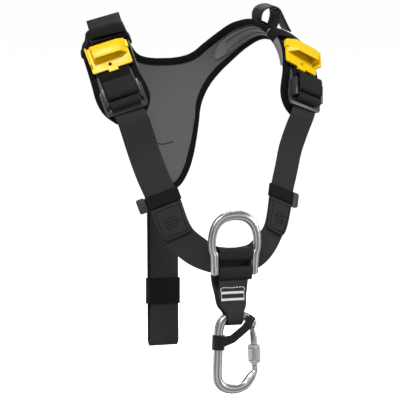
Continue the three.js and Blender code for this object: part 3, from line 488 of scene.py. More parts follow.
def cloth_pair(name, rows, thickness, finish, closed_rows=False):
    for side, grid in (("left", rows), ("right", mirrored_rows(rows))):
        node = f"{name}_{side}"
        cloth(f"{name}_cloth_{side}", [node], grid, thickness, finish, closed_rows)


print("helpers ready")

# %% [markdown]
# The pad itself is foam between two cloths. It is fullest in its middle and thins towards the tape that
# binds its edge, so both faces bulge a little. It is modelled directly from the yoke's surface.

# %% Foam pad
PAD_STATIONS = 150
PAD_COLUMNS = 17
PAD_INSET = 6.0
PAD_END = 0.985
EDGE_SHARE = 0.62


def pad_shell():
    rows = []
    for i in range(-PAD_STATIONS, PAD_STATIONS + 1):
        station = i / PAD_STATIONS * PAD_END
        width = (pad_point(station, 1) - pad_point(station, 0)).length
        margin = min(PAD_INSET / width, 0.45)
        top, bottom = [], []
        for j in range(PAD_COLUMNS):
            side = j / (PAD_COLUMNS - 1)
            spot = pad_frame(station, lerp(margin, 1 - margin, side))
            swell = 1 - (1 - EDGE_SHARE) * abs(2 * side - 1) ** 5
            middle = PAD_THICKNESS / 2
            top.append(spot.point + spot.out * (middle + middle * swell))
            bottom.append(spot.point + spot.out * (middle - middle * swell))
        rows.append(top + bottom[::-1])
    return rows


pad_mesh, _, _ = grid_mesh("yoke_pad", pad_shell(), closed_columns=True, sharp=60)
shape = filled(pad_mesh)
shape.to_mesh(pad_mesh)
shape.free()
yoke_pad = linked("yoke_pad", pad_mesh, "pad_foam")
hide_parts("back_pad")
print("pad faces:", len(pad_mesh.polygons))

# %% [markdown]
# A folded tape is sewn over the pad's whole edge. Its section is a flat loop, rounded outside, that follows
# the edge as a closed ring.

# %% Edge binding
def edge_frames():
    steps = 130
    spots = [(i / steps, 0) for i in range(-steps, steps + 1)]
    spots += [(1, a) for a in (0.25, 0.5, 0.75)]
    spots += [(i / steps, 1) for i in range(steps, -steps - 1, -1)]
    spots += [(-1, a) for a in (0.75, 0.5, 0.25)]
    frames = [pad_frame(station, across) for station, across in spots]
    rows = []
    for i, spot in enumerate(frames):
        along = (frames[(i + 1) % len(frames)].point - frames[i - 1].point).normalized()
        rows.append((spot.point, spot.out, spot.out.cross(along).normalized()))
    return rows


BindingCorner = namedtuple("BindingCorner", "inward out")
BINDING_SECTION = [BindingCorner(*row) for row in (
    (1.0, 0.86),
    (0.75, 1.0),
    (0.45, 1.0),
    (0.2, 0.86),
    (0.05, 0.55),
    (0.0, 0.0),
    (0.05, -0.55),
    (0.2, -0.86),
    (0.45, -1.0),
    (0.75, -1.0),
    (1.0, -0.86),
)]


def binding_point(point, out, inward, corner):
    rise = (PAD_THICKNESS + corner.out * BINDING_THICKNESS) / 2
    return point + inward * corner.inward * BINDING_WIDTH + out * rise


binding_rows = [
    [binding_point(point, out, inward, corner) for corner in BINDING_SECTION]
    for point, out, inward in edge_frames()
]
binding_mesh, _, _ = grid_mesh("edge_binding", binding_rows, closed_rows=True, closed_columns=True, sharp=50)
edge_binding = linked("edge_binding", binding_mesh, "binding")
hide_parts("pad_binding")
print("binding rings:", len(binding_rows))

# %% [markdown]
# Webbing lies on the outer face of each shoulder, from beside the rear strap down to the buckle. Rows give
# the station along the yoke and the shares across it where the webbing's two edges lie.

# %% Layers on the shoulders
BandRow = namedtuple("BandRow", "station start end")


def band_on_pad(table, lift, steps, columns, bulge=0.0):
    path = smooth([(r.station, r.start, r.end) for r in table])
    count = (len(table) - 1) * steps
    rows = []
    for i in range(count + 1):
        station, start, end = path(i / count)
        row = []
        for j in range(columns):
            side = j / (columns - 1)
            rise = bulge * 4 * side * (1 - side)
            row.append(on_pad(station, lerp(start, end, side), lift + rise))
        rows.append(row)
    return rows


WEB_LIFT = 9.4
WEB_TOP = WEB_LIFT + WEB_THICKNESS / 2
SHOULDER_WEB = [
    BandRow(0.105, 0.4, 0.58),
    BandRow(0.2, 0.34, 0.6),
    BandRow(0.3, 0.28, 0.62),
    BandRow(0.4, 0.24, 0.68),
    BandRow(0.47, 0.22, 0.74),
    BandRow(0.56, 0.18, 0.8),
    BandRow(0.64, 0.16, 0.83),
    BandRow(0.72, 0.17, 0.83),
    BandRow(0.81, 0.22, 0.8),
]
web_rows = band_on_pad(SHOULDER_WEB, WEB_LIFT, 12, 9)
cloth_pair("shoulder_web", web_rows, WEB_THICKNESS, "shoulder")

LINER = [
    BandRow(0.36, 0.5, 0.56),
    BandRow(0.375, 0.32, 0.64),
    BandRow(0.41, 0.26, 0.7),
    BandRow(0.48, 0.24, 0.74),
    BandRow(0.57, 0.24, 0.76),
]
LINER_LIFT = -1.2
LINER_THICKNESS = 1.2
liner_rows = band_on_pad(LINER, LINER_LIFT, 10, 9)
cloth_pair("shoulder_liner", liner_rows, LINER_THICKNESS, "liner")

# Past the keeper the lining turns over the neck side's edge, from the inner face to beside the webbing.
EdgeSpot = namedtuple("EdgeSpot", "inward lift")
EDGE_SPOTS = [
    EdgeSpot(7, -2.1),
    EdgeSpot(0.5, -1.8),
    EdgeSpot(-1.2, 3.5),
    EdgeSpot(0.5, 8.8),
    EdgeSpot(5, 9.2),
]
EDGE_STATIONS = (0.6, 0.735)
EDGE_STEPS = 30


def edge_strip():
    section = smooth([(spot.inward, spot.lift, 0) for spot in EDGE_SPOTS])
    rows = []
    for i in range(EDGE_STEPS + 1):
        share = i / EDGE_STEPS
        station = lerp(*EDGE_STATIONS, share)
        width = (pad_point(station, 1) - pad_point(station, 0)).length
        reach = 1 - 0.75 * share**2
        row = []
        for j in range(13):
            inward, lift, _ = section(0.42 + (j / 12 - 0.5) * reach * 0.84)
            row.append(on_pad(station, inward / width, lift))
        rows.append(row)
    return rows


for side, grid in (("left", edge_strip()), ("right", mirrored_rows(edge_strip()))):
    cloth(f"liner_edge_cloth_{side}", [], grid, 1.0, "liner")

PATCH_LIFT = WEB_TOP + 1.3
PATCH = [BandRow(0.665, 0.14, 0.84), BandRow(0.72, 0.17, 0.82), BandRow(0.775, 0.2, 0.8)]
patch_rows = band_on_pad(PATCH, PATCH_LIFT, 8, 9)
cloth_pair("holder_patch", patch_rows, 1.6, "elastic")

# %% [markdown]
# An elastic band goes right round pad and webbing on each shoulder. It is a loop of points round the pad,
# repeated over the band's width. On the right it also climbs over the folded strap end.

# %% Shoulder keepers
KEEPER_STATION = 0.63
KEEPER_HALF = 0.019
ELASTIC_THICKNESS = 1.5
KeeperRow = namedtuple("KeeperRow", "across side high")
KEEPER_ROWS = [KeeperRow(*row) for row in (
    (-0.06, 0.5, 0),
    (-0.01, 0.92, 0.06),
    (0.05, 1, 0.8),
    (0.11, 1, 1),
    (0.3, 1, 1),
    (0.5, 1, 1),
    (0.62, 1, 1),
    (0.72, 1, 0.95),
    (0.79, 1, 0.5),
    (0.88, 0.97, 0.02),
    (1.015, 0.5, 0),
    (0.97, 0.03, 0),
    (0.9, 0, 0),
    (0.7, 0, 0),
    (0.5, 0, 0),
    (0.3, 0, 0),
    (0.1, 0, 0),
    (0.0, 0.05, 0),
)]


def keeper_rows(stowed):
    low, high = -1.8, WEB_TOP + 1.4
    stations = [KEEPER_STATION + KEEPER_HALF * share for share in (-1, -0.5, 0, 0.5, 1)]
    rows = []
    for row in KEEPER_ROWS:
        lift = lerp(low, high + row.high * stowed, row.side)
        rows.append([on_pad(station, row.across, lift) for station in stations])
    return rows


def rounded_loop(rows, steps):
    count = len(rows)
    ring = rows + rows[:3]
    made = []
    columns = [smooth([row[j] for row in [rows[-1]] + ring]) for j in range(len(rows[0]))]
    last = len(ring)
    for i in range(count * steps):
        made.append([column((1 + i / steps) / last) for column in columns])
    return made


PACKET_HEIGHT = 14.0
left_keeper = rounded_loop(keeper_rows(2.0), 3)
right_keeper = mirrored_rows(rounded_loop(keeper_rows(PACKET_HEIGHT + 2.5), 3))
for side, grid in (("left", left_keeper), ("right", right_keeper)):
    cloth(
        f"shoulder_keeper_cloth_{side}", [f"shoulder_keeper_{side}"], grid, ELASTIC_THICKNESS, "elastic",
        closed_rows=True,
    )

# %% [markdown]
# The free ends of the chest straps are stowed on the shoulders: on the right folded to and fro in a flat
# packet under the keeper, on the left as a loop that stands up behind it.

# %% Stowed strap ends
def seat_at(spot, lift=0.0):
    seat = Matrix((spot.across, spot.up, spot.out)).transposed().to_4x4()
    seat.translation = spot.point + spot.out * lift
    return seat


def seat_matrix(station, across, lift, turn=0.0, tilt=0.0):
    seat = seat_at(pad_frame(station, across), lift)
    return seat @ Matrix.Rotation(math.radians(turn), 4, "Z") @ Matrix.Rotation(math.radians(tilt), 4, "X")


def seated(rows, seat):
    return [[seat @ Vector(p) for p in row] for row in rows]


# A flat band drawn along local x from a path of (y, z) points.
def band_along_x(path, width, columns=5):
    return [[(lerp(-width / 2, width / 2, j / (columns - 1)), y, z) for j in range(columns)] for y, z in path]


PACKET_LENGTH = 45.0
PACKET_WIDTH = 48.0
PACKET_SHIFT = 15.0
PACKET_LAYERS = 6
PACKET_SLIPS = [0, 2.0, -1.0, 2.5, 0.5, -1.5]
PACKET_ACROSS = 0.36


def packet_path():
    pitch = (PACKET_HEIGHT - WEB_THICKNESS) / (PACKET_LAYERS - 1)
    path = []
    for layer in range(PACKET_LAYERS):
        half = PACKET_LENGTH / 2 - pitch / 2 + PACKET_SLIPS[layer]
        way = 1 if layer % 2 == 0 else -1
        height = WEB_THICKNESS / 2 + layer * pitch
        for share in (-1, -0.5, 0, 0.5, 1):
            path.append((PACKET_SHIFT + way * half * share, height))
        if layer < PACKET_LAYERS - 1:
            for angle in range(-60, 61, 30):
                turn = math.radians(angle)
                far = PACKET_SHIFT + way * (half + math.cos(turn) * pitch / 2)
                path.append((far, height + (1 + math.sin(turn)) * pitch / 2))
    return path


packet_seat = seat_matrix(KEEPER_STATION, PACKET_ACROSS, WEB_TOP + 0.4)
packet_rows = mirrored_rows(seated(band_along_x(packet_path(), PACKET_WIDTH), packet_seat))
# The packet uses the webbing drawn darker with painted shade.
cloth(
    "folded_tail_cloth_right", ["folded_tail_right"], packet_rows, WEB_THICKNESS, "rolled_with_painted_shade",
)

LoopRow = namedtuple("LoopRow", "x z")
LOOP_Y = 0.03
LOOP_BACK = Vector((0, 31, 4))
ARCH_ROWS = [LoopRow(*row) for row in (
    (1.15, 0.02),
    (1.146, 0.04),
    (1.151, 0.063),
    (1.186, 0.089),
    (1.25, 0.1047),
    (1.321, 0.1105),
    (1.393, 0.1094),
    (1.448, 0.0949),
    (1.488, 0.0688),
    (1.536, 0.0312),
    (1.591, -0.0092),
    (1.632, -0.036),
)]
LIMB_ROWS = [LoopRow(*row) for row in (
    (1.425, 0.088),
    (1.438, 0.066),
    (1.435, 0.04),
    (1.415, 0.012),
    (1.38, -0.02),
)]


def arch_rows(table):
    path = smooth([place(r.x, LOOP_Y, r.z) for r in table])
    count = (len(table) - 1) * 6
    shares = (0, 0.25, 0.5, 0.75, 1)
    return [[path(i / count) + LOOP_BACK * share for share in shares] for i in range(count + 1)]


# The loop uses the webbing drawn darker with painted shade.
for name, nodes, table in (("loop", ["tail_loop_left"], ARCH_ROWS), ("limb", [], LIMB_ROWS)):
    cloth(
        f"tail_{name}_cloth_left", nodes, arch_rows(table), WEB_THICKNESS, "rolled_with_painted_shade",
    )

# %% [markdown]
# The rear strap hangs down the middle of the back, turns at its lower end and comes back up on the inner
# side. Bands like it, whose middle line lies in the plane of symmetry, need only the line and a half width.

# %% Rear strap and front panel
PlaneRow = namedtuple("PlaneRow", "y z wide shift", defaults=(1, 0))


def plane_band(table, steps, columns=7):
    path = smooth([(r.wide * WEB_WIDTH / 2, r.y * TRUNK_HALF_DEPTH, r.z * BACK_DROP) for r in table])
    sideways = smooth([(r.shift, 0, 0) for r in table])
    count = (len(table) - 1) * steps
    rows = []
    for i in range(count + 1):
        half, y, z = path(i / count)
        middle = sideways(i / count).x
        rows.append([(middle + lerp(-half, half, j / (columns - 1)), y, z) for j in range(columns)])
    return rows


REAR_ROWS = [PlaneRow(*row) for row in (
    (1.106, -0.5),
    (1.106, -0.74),
    (1.065, -0.96),
    (1.05, -1.12),
    (1.04, -1.42),
    (1.03, -1.8),
    (1.025, -1.86),
    (0.975, -1.885),
    (0.925, -1.86),
    (0.925, -1.8),
    (0.935, -1.42),
    (0.95, -1.06),
)]
cloth(
    "rear_strap_cloth", ["rear_strap"], plane_band(REAR_ROWS, 10), WEB_THICKNESS, "webbing",
)

PANEL_ROWS = [PlaneRow(*row) for row in (
    (-1.495, -1.4045, 1.0, -3),
    (-1.515, -1.5, 0.93, -5),
    (-1.53, -1.55, 0.86, -4.5),
    (-1.548, -1.582, 0.66, -3.5),
    (-1.555, -1.6, 0.56, -2.5),
    (-1.54, -1.636, 0.54, -2),
    (-1.47, -1.656, 0.54, -2),
    (-1.4, -1.636, 0.54, -2),
    (-1.38, -1.595, 0.56, -2),
    (-1.38, -1.55, 0.9, -3),
    (-1.38, -1.48, 1.05, -4),
    (-1.37, -1.42, 1.25, -3),
    (-1.36, -1.365, 1.35, -2),
)]
PANEL_THICKNESS = 2.2
cloth(
    "front_panel_cloth", ["sternal_panel"], plane_band(PANEL_ROWS, 8), PANEL_THICKNESS, "webbing",
)


# A flat loop of points round a band: half width and half depth with rounded ends.
def flat_loop(half_width, half_depth, corner):
    reach, rise = half_width - corner, half_depth - corner
    centres = ((reach, rise, 0), (-reach, rise, 90), (-reach, -rise, 180), (reach, -rise, 270))
    path = []
    for x, z, start in centres:
        for step in range(0, 91, 30):
            turn = math.radians(start + step)
            path.append((x + math.cos(turn) * corner, z + math.sin(turn) * corner))
    return path


def sleeve_rows(half_width, half_depth, height, columns=5):
    path = flat_loop(half_width, half_depth, min(half_depth - 0.1, 2.2))
    levels = [lerp(-height / 2, height / 2, j / (columns - 1)) for j in range(columns)]
    return [[(x, level, z) for level in levels] for x, z in path]


SLEEVE_ROOM = 1.7
REAR_KEEPER_PLACE = Vector((0, 98.2, -391))
rear_keeper = [
    [REAR_KEEPER_PLACE + Vector((x, z, y)) for x, y, z in row]
    for row in sleeve_rows(WEB_WIDTH / 2 + SLEEVE_ROOM, 7.7, 38)
]
cloth(
    "rear_keeper_cloth", ["rear_strap_keeper"], rear_keeper, ELASTIC_THICKNESS, "elastic",
    closed_rows=True,
)

# %% [markdown]
# The chest straps carry the load. Each runs from under its buckle down the chest and turns sideways to the
# ring. Rows give the strap's middle as shares of the trunk, the yaw and lean of its flat side in degrees,
# and the share of its width that shows.

# %% Chest straps
ChestRow = namedtuple("ChestRow", "x y z yaw lean wide", defaults=(1,))
CHEST_ROWS = [ChestRow(*row) for row in (
    (1.42, -0.792, -0.36, 18.8, 7),
    (1.405, -0.828, -0.402, 17.5, 7),
    (1.38, -0.91, -0.448, 16, 8),
    (1.33, -0.945, -0.496, 16, 12),
    (1.255, -0.93, -0.572, 16, 15),
    (1.15, -0.92, -0.688, 17, 17),
    (1.06, -0.97, -0.8, 17.5, 20),
    (0.97, -1.03, -0.896, 18, 20),
    (0.9, -1.09, -0.972, 19, 20),
    (0.76, -1.18, -1.136, 25, 21.5),
    (0.535, -1.29, -1.232, 20, 48, 0.957),
    (0.33, -1.365, -1.28, 12, 66, 0.862),
    (0.0, -1.405, -1.304, 0, 90, 0.867),
)]
chest_middle = smooth([place(r.x, r.y, r.z) for r in CHEST_ROWS])
chest_turn = smooth([(r.yaw, r.lean, r.wide) for r in CHEST_ROWS])
ChestFrame = namedtuple("ChestFrame", "point across out up wide")


def chest_frame(share):
    yaw, lean, wide = chest_turn(share)
    yaw, lean = math.radians(yaw), math.radians(lean)
    across = Vector((math.cos(lean) * math.cos(yaw), math.cos(lean) * math.sin(yaw), -math.sin(lean)))
    down = chest_middle(share + 0.01) - chest_middle(share - 0.01)
    out = down.cross(across).normalized()
    return ChestFrame(chest_middle(share), across, out, out.cross(across), wide)


def on_chest(share, side, lift):
    spot = chest_frame(share)
    return spot.point + spot.across * (side * spot.wide * WEB_WIDTH / 2) + spot.out * lift


CHEST_STEPS = 120
chest_rows = [
    [on_chest(i / CHEST_STEPS, lerp(-1, 1, j / 8), 0) for j in range(9)]
    for i in range(CHEST_STEPS + 1)
]
cloth_pair("chest_strap", chest_rows, WEB_THICKNESS, "webbing")

TabRow = namedtuple("TabRow", "at wide")
TAB_ROWS = [
    TabRow(0.672, 0.95),
    TabRow(0.69, 0.96),
    TabRow(0.71, 0.97),
    TabRow(0.735, 0.97),
    TabRow(0.75, 0.93),
    TabRow(0.762, 0.8),
]
TAB_STEPS = 20
TAB_LIFT = 2.9
TAB_THICKNESS = 3.2
tab_path = smooth([(r.at, r.wide, 0) for r in TAB_ROWS])
tab_rows = []
for i in range(TAB_STEPS + 1):
    at, wide, _ = tab_path(i / TAB_STEPS)
    tab_rows.append([on_chest(at, wide * lerp(-1, 1, j / 8), TAB_LIFT) for j in range(9)])
cloth_pair("sewn_tab", tab_rows, TAB_THICKNESS, "webbing")

BAND_AT = 0.635
band_rows = seated(sleeve_rows(WEB_WIDTH / 2 + SLEEVE_ROOM, 2.5, 18), seat_at(chest_frame(BAND_AT)))
cloth_pair(
    "strap_band", band_rows, ELASTIC_THICKNESS, "elastic",
    closed_rows=True,
)

# %% [markdown]
# At buckles and ring the webbing is wound round bars and shows as thick rolls. Each roll is a strip that
# follows an oval round its bar. The rolls are drawn darker than the strap, which is painted shade.

# %% Webbing rolls
def roll_rows(width, height, depth):
    inset = WEB_THICKNESS / 2
    path = flat_loop(depth / 2 - inset, height / 2 - inset, depth / 2 - inset - 0.05)
    return [[(lerp(-width / 2, width / 2, j / 4), y, z) for j in range(5)] for z, y in path]


BUCKLE_STATION = 0.87
BUCKLE_LIFT = 10.6 + 3.6
BUCKLE_TILT = -7
BAR_HEIGHT = 2.6 + 0.4 + 6
UPPER_BAR = 19
BUCKLE_TURN = -11
buckle_seat = seat_matrix(BUCKLE_STATION, 0.5, BUCKLE_LIFT, BUCKLE_TURN, BUCKLE_TILT)
# The left buckle has slipped a little down its strap.
BUCKLE_SLIP = Matrix.Translation((-5, -4.5, 0))
BUCKLE_ROLL_WIDTH = 44
RollSpec = namedtuple("RollSpec", "name height depth y")
for spec in (RollSpec("lower", 12.5, 11, 0), RollSpec("upper", 29, 14, UPPER_BAR + 3)):
    roll = roll_rows(BUCKLE_ROLL_WIDTH, spec.height, spec.depth)
    rows = [[(x, y + spec.y, z + BAR_HEIGHT) for x, y, z in row] for row in roll]
    for side, grid in (
        ("left", seated(rows, buckle_seat @ BUCKLE_SLIP)),
        ("right", mirrored_rows(seated(rows, buckle_seat))),
    ):
        cloth(
            f"buckle_roll_{spec.name}_cloth_{side}", [f"buckle_roll_{spec.name}_{side}"], grid,
            WEB_THICKNESS, "rolled_with_painted_shade", closed_rows=True,
        )

FRONT_Y = -147.0
RING_TOP = -259.5
RING_HEIGHT = 82.0
RING_BARS = {"upper": 54.9, "lower": RING_HEIGHT}
ring_roll = roll_rows(50, 19.6, 11.4)
for name, drop in RING_BARS.items():
    rows = [[(x, FRONT_Y + z, RING_TOP - drop + y) for x, y, z in row] for row in ring_roll]
    cloth(
        f"ring_roll_cloth_{name}", [f"ring_roll_{name}"], rows, WEB_THICKNESS, "rolled_with_painted_shade",
        closed_rows=True,
    )

# %% [markdown]
# Forged parts are bent from round rod. Each is a ring of points carried along a smooth line in the front
# plane. The line has a radius in every row, so that the nose of the connector gets thinner.

# %% Forged metal
RodRow = namedtuple("RodRow", "x z r")
ROD_SIDES = 32
GROOVE = 0.13
GROOVE_WIDTH = 0.42


# The groove is a shallow channel along the front and the back. Its depth is a share of the radius.
def front_rod(table, depth_share, steps):
    path = smooth([(r.x, r.r, r.z) for r in table])
    count = (len(table) - 1) * steps
    rows = []
    for i in range(count + 1):
        x, radius, z = path(i / count)
        ahead, behind = path(min((i + 0.5) / count, 1)), path(max((i - 0.5) / count, 0))
        side = Vector((ahead.z - behind.z, 0, behind.x - ahead.x)).normalized()
        row = []
        for k in range(ROD_SIDES):
            turn = 2 * math.pi * k / ROD_SIDES
            reach = radius * (1 - GROOVE * math.exp(-((math.cos(turn) / GROOVE_WIDTH) ** 2)))
            front = Vector((x, FRONT_Y + math.sin(turn) * reach * depth_share, z))
            row.append(front + side * math.cos(turn) * reach)
        rows.append(row)
    return rows


def capped_rod(name, rows):
    mesh, _, _ = grid_mesh(name, rows, closed_columns=True)
    shape = filled(mesh)
    bmesh.ops.recalc_face_normals(shape, faces=shape.faces)
    return mesh, shape


def add_cylinder(shape, start, end, radius, sides=20):
    start, end = Vector(start) * MM, Vector(end) * MM
    along = end - start
    turn = along.to_track_quat("Z", "Y").to_matrix().to_4x4()
    turn.translation = (start + end) / 2
    bmesh.ops.create_cone(
        shape, cap_ends=True, segments=sides, radius1=radius * MM, radius2=radius * MM,
        depth=along.length, matrix=turn,
    )


RING_HALF_WIDTH = 35.3
RING_BAR_REACH = RING_HALF_WIDTH * 0.92
RING_BAR_RADIUS = 3.1
RingRow = namedtuple("RingRow", "side drop r")
RING_ROWS = [RingRow(*row) for row in (
    (0.3, 0.012, 6.6),
    (0.64, 0.08, 6.4),
    (0.86, 0.19, 6.1),
    (0.97, 0.33, 5.9),
    (1.0, 0.48, 5.7),
    (0.97, 0.6, 5.5),
    (0.9, 0.68, 6.2),
    (0.89, 0.78, 5.7),
    (0.88, 0.88, 5.4),
    (0.87, 0.985, 5.6),
    (0.87, 1.01, 5.0),
    (0.87, 1.022, 3.2),
)]
half_ring = [RodRow(r.side * RING_HALF_WIDTH, RING_TOP - r.drop * RING_HEIGHT, r.r) for r in RING_ROWS]
whole_ring = [r._replace(x=-r.x) for r in reversed(half_ring)] + half_ring
ring_mesh, shape = capped_rod("ring_forging", front_rod(whole_ring, 0.95, 8))
for drop in RING_BARS.values():
    end = Vector((RING_BAR_REACH, FRONT_Y, RING_TOP - drop))
    add_cylinder(shape, (-end.x, end.y, end.z), end, RING_BAR_RADIUS)
mark_sharp(shape, 50)
shape.to_mesh(ring_mesh)
shape.free()
ring_forging = linked("ring_forging", ring_mesh, "forged_metal_painted_highlights")
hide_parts("sternal_ring")

SPINE_ROWS = [RodRow(*row) for row in (
    (29, -417, 5),
    (28, -413, 6),
    (23, -407.5, 6),
    (14, -403, 6),
    (0, -401, 6),
    (-13, -403.5, 6),
    (-21, -410.5, 6.6),
    (-24.5, -422, 6.6),
    (-25.2, -440, 6.6),
    (-26.4, -465, 6.6),
    (-27, -482, 6.6),
    (-25.5, -493, 6.6),
    (-19.5, -501, 6.6),
    (-8, -505.5, 6.6),
    (5, -505.5, 6.6),
    (16.5, -501, 6.6),
    (26.5, -489.5, 6.3),
    (31.6, -482, 4.2),
    (31.3, -474.2, 4.1),
)]
# The gate turns on a thin eye, joined to the rod by a short neck.
PIVOT = Vector((29.3, FRONT_Y, -424))
EYE_RADIUS = 4
HALF_EYE = Vector((0, 1.5, 0))
NECK_SIZE = Vector((5, 3, 10))
spine_mesh, shape = capped_rod("connector_spine", front_rod(SPINE_ROWS, 1.0, 6))
add_cylinder(shape, PIVOT - HALF_EYE, PIVOT + HALF_EYE, EYE_RADIUS)
neck = bmesh.ops.create_cube(shape, size=1)["verts"]
bmesh.ops.scale(shape, verts=neck, vec=NECK_SIZE * MM)
bmesh.ops.translate(shape, verts=neck, vec=(PIVOT + Vector((0, 0, NECK_SIZE.z / 2))) * MM)
mark_sharp(shape, 50)
shape.to_mesh(spine_mesh)
shape.free()
connector_spine = linked("connector_spine", spine_mesh, "forged_metal_painted_highlights")
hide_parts("connector_body")
print("ring and connector made")

# %% [markdown]
# Moulded and stamped parts have the right shape in the frame already, but their edges are razor sharp. A
# copy with beveled edges catches the light as a real part does.

# %% Softened copies
SHARP_ANGLE = math.radians(28)


def softened(node, name, finish, width, segments=2, body="harness", move=None):
    mesh = bpy.data.meshes.new(name)
    shape = bmesh.new()
    shape.from_mesh(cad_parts[node].data)
    bmesh.ops.remove_doubles(shape, verts=shape.verts, dist=2e-5)
    bmesh.ops.dissolve_limit(shape, angle_limit=math.radians(1.5), verts=shape.verts, edges=shape.edges)
    edges = [e for e in shape.edges if len(e.link_faces) == 2 and e.calc_face_angle(0) > SHARP_ANGLE]
    bmesh.ops.bevel(
        shape, geom=edges, offset=width * MM, segments=segments, profile=0.5, affect="EDGES",
        material=-1, clamp_overlap=True,
    )
    mark_sharp(shape, 38)
    if move:
        bmesh.ops.transform(shape, matrix=move, verts=shape.verts)
    shape.to_mesh(mesh)
    shape.free()
    mesh.materials.clear()
    piece = linked(name, mesh, finish, body)
    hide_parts(node)


# A move in a seat's own directions, for meshes in metres.
def moved_in(seat, change):
    seat = seat.copy()
    seat.translation = seat.translation * MM
    return seat @ change @ seat.inverted()


# The buckles sit turned on their shoulders, like their rolls; the copy is turned round the seat's own axis.
def turned(seat, degrees, mirror):
    slip = Matrix.Translation(Vector((0, 0, 0)) if mirror else BUCKLE_SLIP.translation * MM)
    move = moved_in(seat, Matrix.Rotation(math.radians(degrees), 4, "Z") @ slip)
    flip = Matrix.Diagonal((-1, 1, 1, 1))
    return flip @ move @ flip if mirror else move


plain_seat = seat_matrix(BUCKLE_STATION, 0.5, BUCKLE_LIFT)

# The left holder has slipped a little down its strap and turned.
HOLDER_SEAT = seat_matrix(0.735, 0.49, WEB_TOP + 3)
HOLDER_SLIP = Vector((-12, -9, 0))
HOLDER_TURN = -8
slip_down = Matrix.Translation(HOLDER_SLIP * MM) @ Matrix.Rotation(math.radians(HOLDER_TURN), 4, "Z")
holder_move = moved_in(HOLDER_SEAT, slip_down)
for side in ("left", "right"):
    move = turned(plain_seat, BUCKLE_TURN, side == "right")
    slip = holder_move if side == "left" else None
    softened(f"holder_{side}", f"holder_shell_{side}", "yellow_plastic", 0.9, 3, move=slip)
    softened(f"strap_slider_{side}", f"slider_plate_{side}", "grey_plastic", 0.6)
    softened(f"buckle_frame_{side}", f"buckle_frame_metal_{side}", "dark_metal", 0.6, move=move)
    softened(f"buckle_bars_{side}", f"buckle_bars_metal_{side}", "dark_metal", 0.5, move=move)
softened("positioner", "positioner_arm", "black_plastic", 0.5)
softened("connector_gate", "gate_rod", "bright_metal", 0.3, body="gate")
print("moulded and stamped parts softened")

# %% [markdown]
# The locking sleeve turns on the gate. Its middle is knurled so that it can be gripped, and a smooth collar
# closes each end. It is one profile, turned round the gate's line, with a ripple in the knurled part.

# %% Locking sleeve
SleeveRow = namedtuple("SleeveRow", "z r ripple", defaults=(0,))
SLEEVE_ROWS = [SleeveRow(*row) for row in (
    (-444, 5.4),
    (-444, 7.4),
    (-444.9, 8.3),
    (-448, 8.6),
    (-448.8, 7.7),
    (-449.6, 8.8, 0.35),
    (-455, 9.0, 0.35),
    (-461, 9.0, 0.35),
    (-465.4, 8.8, 0.35),
    (-466.2, 7.7),
    (-467, 8.6),
    (-469.2, 8.3),
    (-470, 7.4),
    (-470, 5.4),
)]
GATE_LEAN = 1.9 / 49
SLEEVE_SIDES = 72
sleeve_table = []
for r in SLEEVE_ROWS:
    middle = Vector((PIVOT.x + (PIVOT.z - r.z) * GATE_LEAN, FRONT_Y, r.z))
    ring = []
    for k in range(SLEEVE_SIDES):
        turn = 2 * math.pi * k / SLEEVE_SIDES
        radius = r.r + r.ripple * (1 if k % 3 else -1)
        ring.append(middle + Vector((math.cos(turn), math.sin(turn), 0)) * radius)
    sleeve_table.append(ring)
sleeve_mesh, _, _ = grid_mesh(
    "sleeve_shell", sleeve_table, closed_rows=True, closed_columns=True, sharp=35
)
sleeve_shell = linked("sleeve_shell", sleeve_mesh, "knurled_metal_painted_highlights", "sleeve")
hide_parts("lock_sleeve")
print("sleeve rings:", len(sleeve_table))

# %% [markdown]
# Threads are short round pieces from hole to hole. A bar tack is a dense zigzag; a seam is a row of dashes.
# The panel shows white thread, everything else dark.

# %% Thread on the panel
def threads(name, pairs, radius, finish, nodes=()):
    mesh = bpy.data.meshes.new(name)
    shape = bmesh.new()
    for start, end in pairs:
        add_cylinder(shape, start, end, radius, 6)
    mark_sharp(shape, 70)
    shape.to_mesh(mesh)
    shape.free()
    piece = linked(name, mesh, finish)
    if nodes:
        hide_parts(*nodes)


def zigzag(start, end, swing, pitch):
    start, end, swing = Vector(start), Vector(end), Vector(swing)
    count = int((end - start).length / pitch)
    points = [start.lerp(end, i / count) + swing * (0.5 if i % 2 else -0.5) for i in range(count + 1)]
    return list(zip(points, points[1:]))


def dashes(path, count, share):
    return [(path(i / count), path((i + share) / count)) for i in range(count)]


TackRow = namedtuple("TackRow", "name y z")
TACKS = [TackRow("upper", -152.9, -368), TackRow("lower", -153.8, -377.5)]
TACK_HALF, TACK_MIDDLE = 17.5, -6
TACK_PITCH = 0.75
for tack in TACKS:
    start, end = ((TACK_MIDDLE + way * TACK_HALF, tack.y, tack.z) for way in (-1, 1))
    bar = zigzag(start, end, (0, 0, 3.8), TACK_PITCH)
    threads(f"tack_thread_{tack.name}", bar, 0.5, "thread", [f"bar_tack_{tack.name}"])
upper, lower = TACKS
for edge, name in ((-1, "right"), (1, "left")):
    x = TACK_MIDDLE + edge * TACK_HALF
    side = zigzag((x, upper.y - 0.2, upper.z), (x, lower.y - 0.2, lower.z), (0.8, 0, 0), TACK_PITCH)
    threads(f"tack_side_thread_{name}", side, 0.25, "thread")
seam_ends = (-24, -151.8, -366), (13, -151.8, -366)
seam_middle = [(x, -151.7, z) for x, z in ((-23, -361.6), (-6, -361.3), (12, -361.6))]
panel_seam = smooth([seam_ends[0], *seam_middle, seam_ends[1]])
threads("panel_seam_thread", dashes(panel_seam, 19, 0.6), 0.6, "thread")
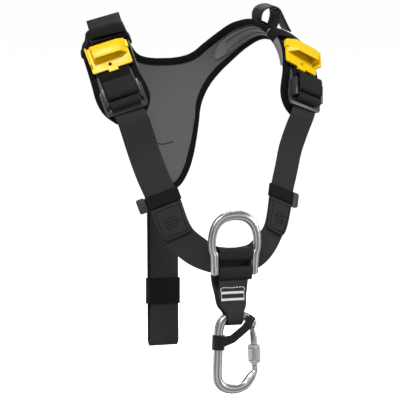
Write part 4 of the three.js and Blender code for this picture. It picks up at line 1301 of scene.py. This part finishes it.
print("bar tacks:", len(TACKS))

# %% [markdown]
# Each sewn tab has a box of stitches near its edge and a small patch of rows in its middle. The keeper of
# the rear strap, the pad and the lining have one seam or two.

# %% Dark seams
DARK_THREAD = 0.5
TAB_STITCH_LIFT = 4.75


def tab_line(from_at, from_side, to_at, to_side, side_sign):
    def at(share):
        spot = on_chest(lerp(from_at, to_at, share), lerp(from_side, to_side, share), TAB_STITCH_LIFT)
        return Vector((spot.x * side_sign, spot.y, spot.z))

    return at


TabSpot = namedtuple("TabSpot", "at half")
TAB_BOX = [(0.68, -0.82), (0.68, 0.82), (0.752, 0.74), (0.752, -0.74), (0.68, -0.82)]
TAB_PATCH = []
PATCH_LINES = [TabSpot(0.706, 0.36), TabSpot(0.714, 0.4), TabSpot(0.722, 0.4), TabSpot(0.73, 0.36)]
for i, line in enumerate(PATCH_LINES):
    way = 1 if i % 2 else -1
    TAB_PATCH += [(line.at, way * line.half), (line.at, -way * line.half)]
for side_sign, name in ((1, "left"), (-1, "right")):
    pairs = []
    for line, count in ((TAB_BOX, 16), (TAB_PATCH, 6)):
        for (from_at, from_side), (to_at, to_side) in zip(line, line[1:]):
            pairs += dashes(tab_line(from_at, from_side, to_at, to_side, side_sign), count, 0.75)
    threads(f"tab_stitch_{name}", pairs, DARK_THREAD, "dark_thread")

keeper_seam = smooth([(-8, 89.6, height) for height in (-373, -391, -409)])
threads("rear_keeper_stitch", dashes(keeper_seam, 14, 0.62), DARK_THREAD, "dark_thread")


def pad_seam(share):
    return on_pad(lerp(-0.022, 0.04, share), 0.64, -0.4)


threads("pad_stitch", dashes(pad_seam, 12, 0.8), DARK_THREAD, "dark_thread")
for across, name in ((0.36, "inner"), (0.62, "outer")):
    for side_sign, side in ((1, "left"), (-1, "right")):

        def seam(share):
            spot = on_pad(lerp(0.4, 0.57, share), across, -2.1)
            return Vector((spot.x * side_sign, spot.y, spot.z))

        threads(f"liner_stitch_{name}_{side}", dashes(seam, 34, 0.7), 0.45, "dark_thread")
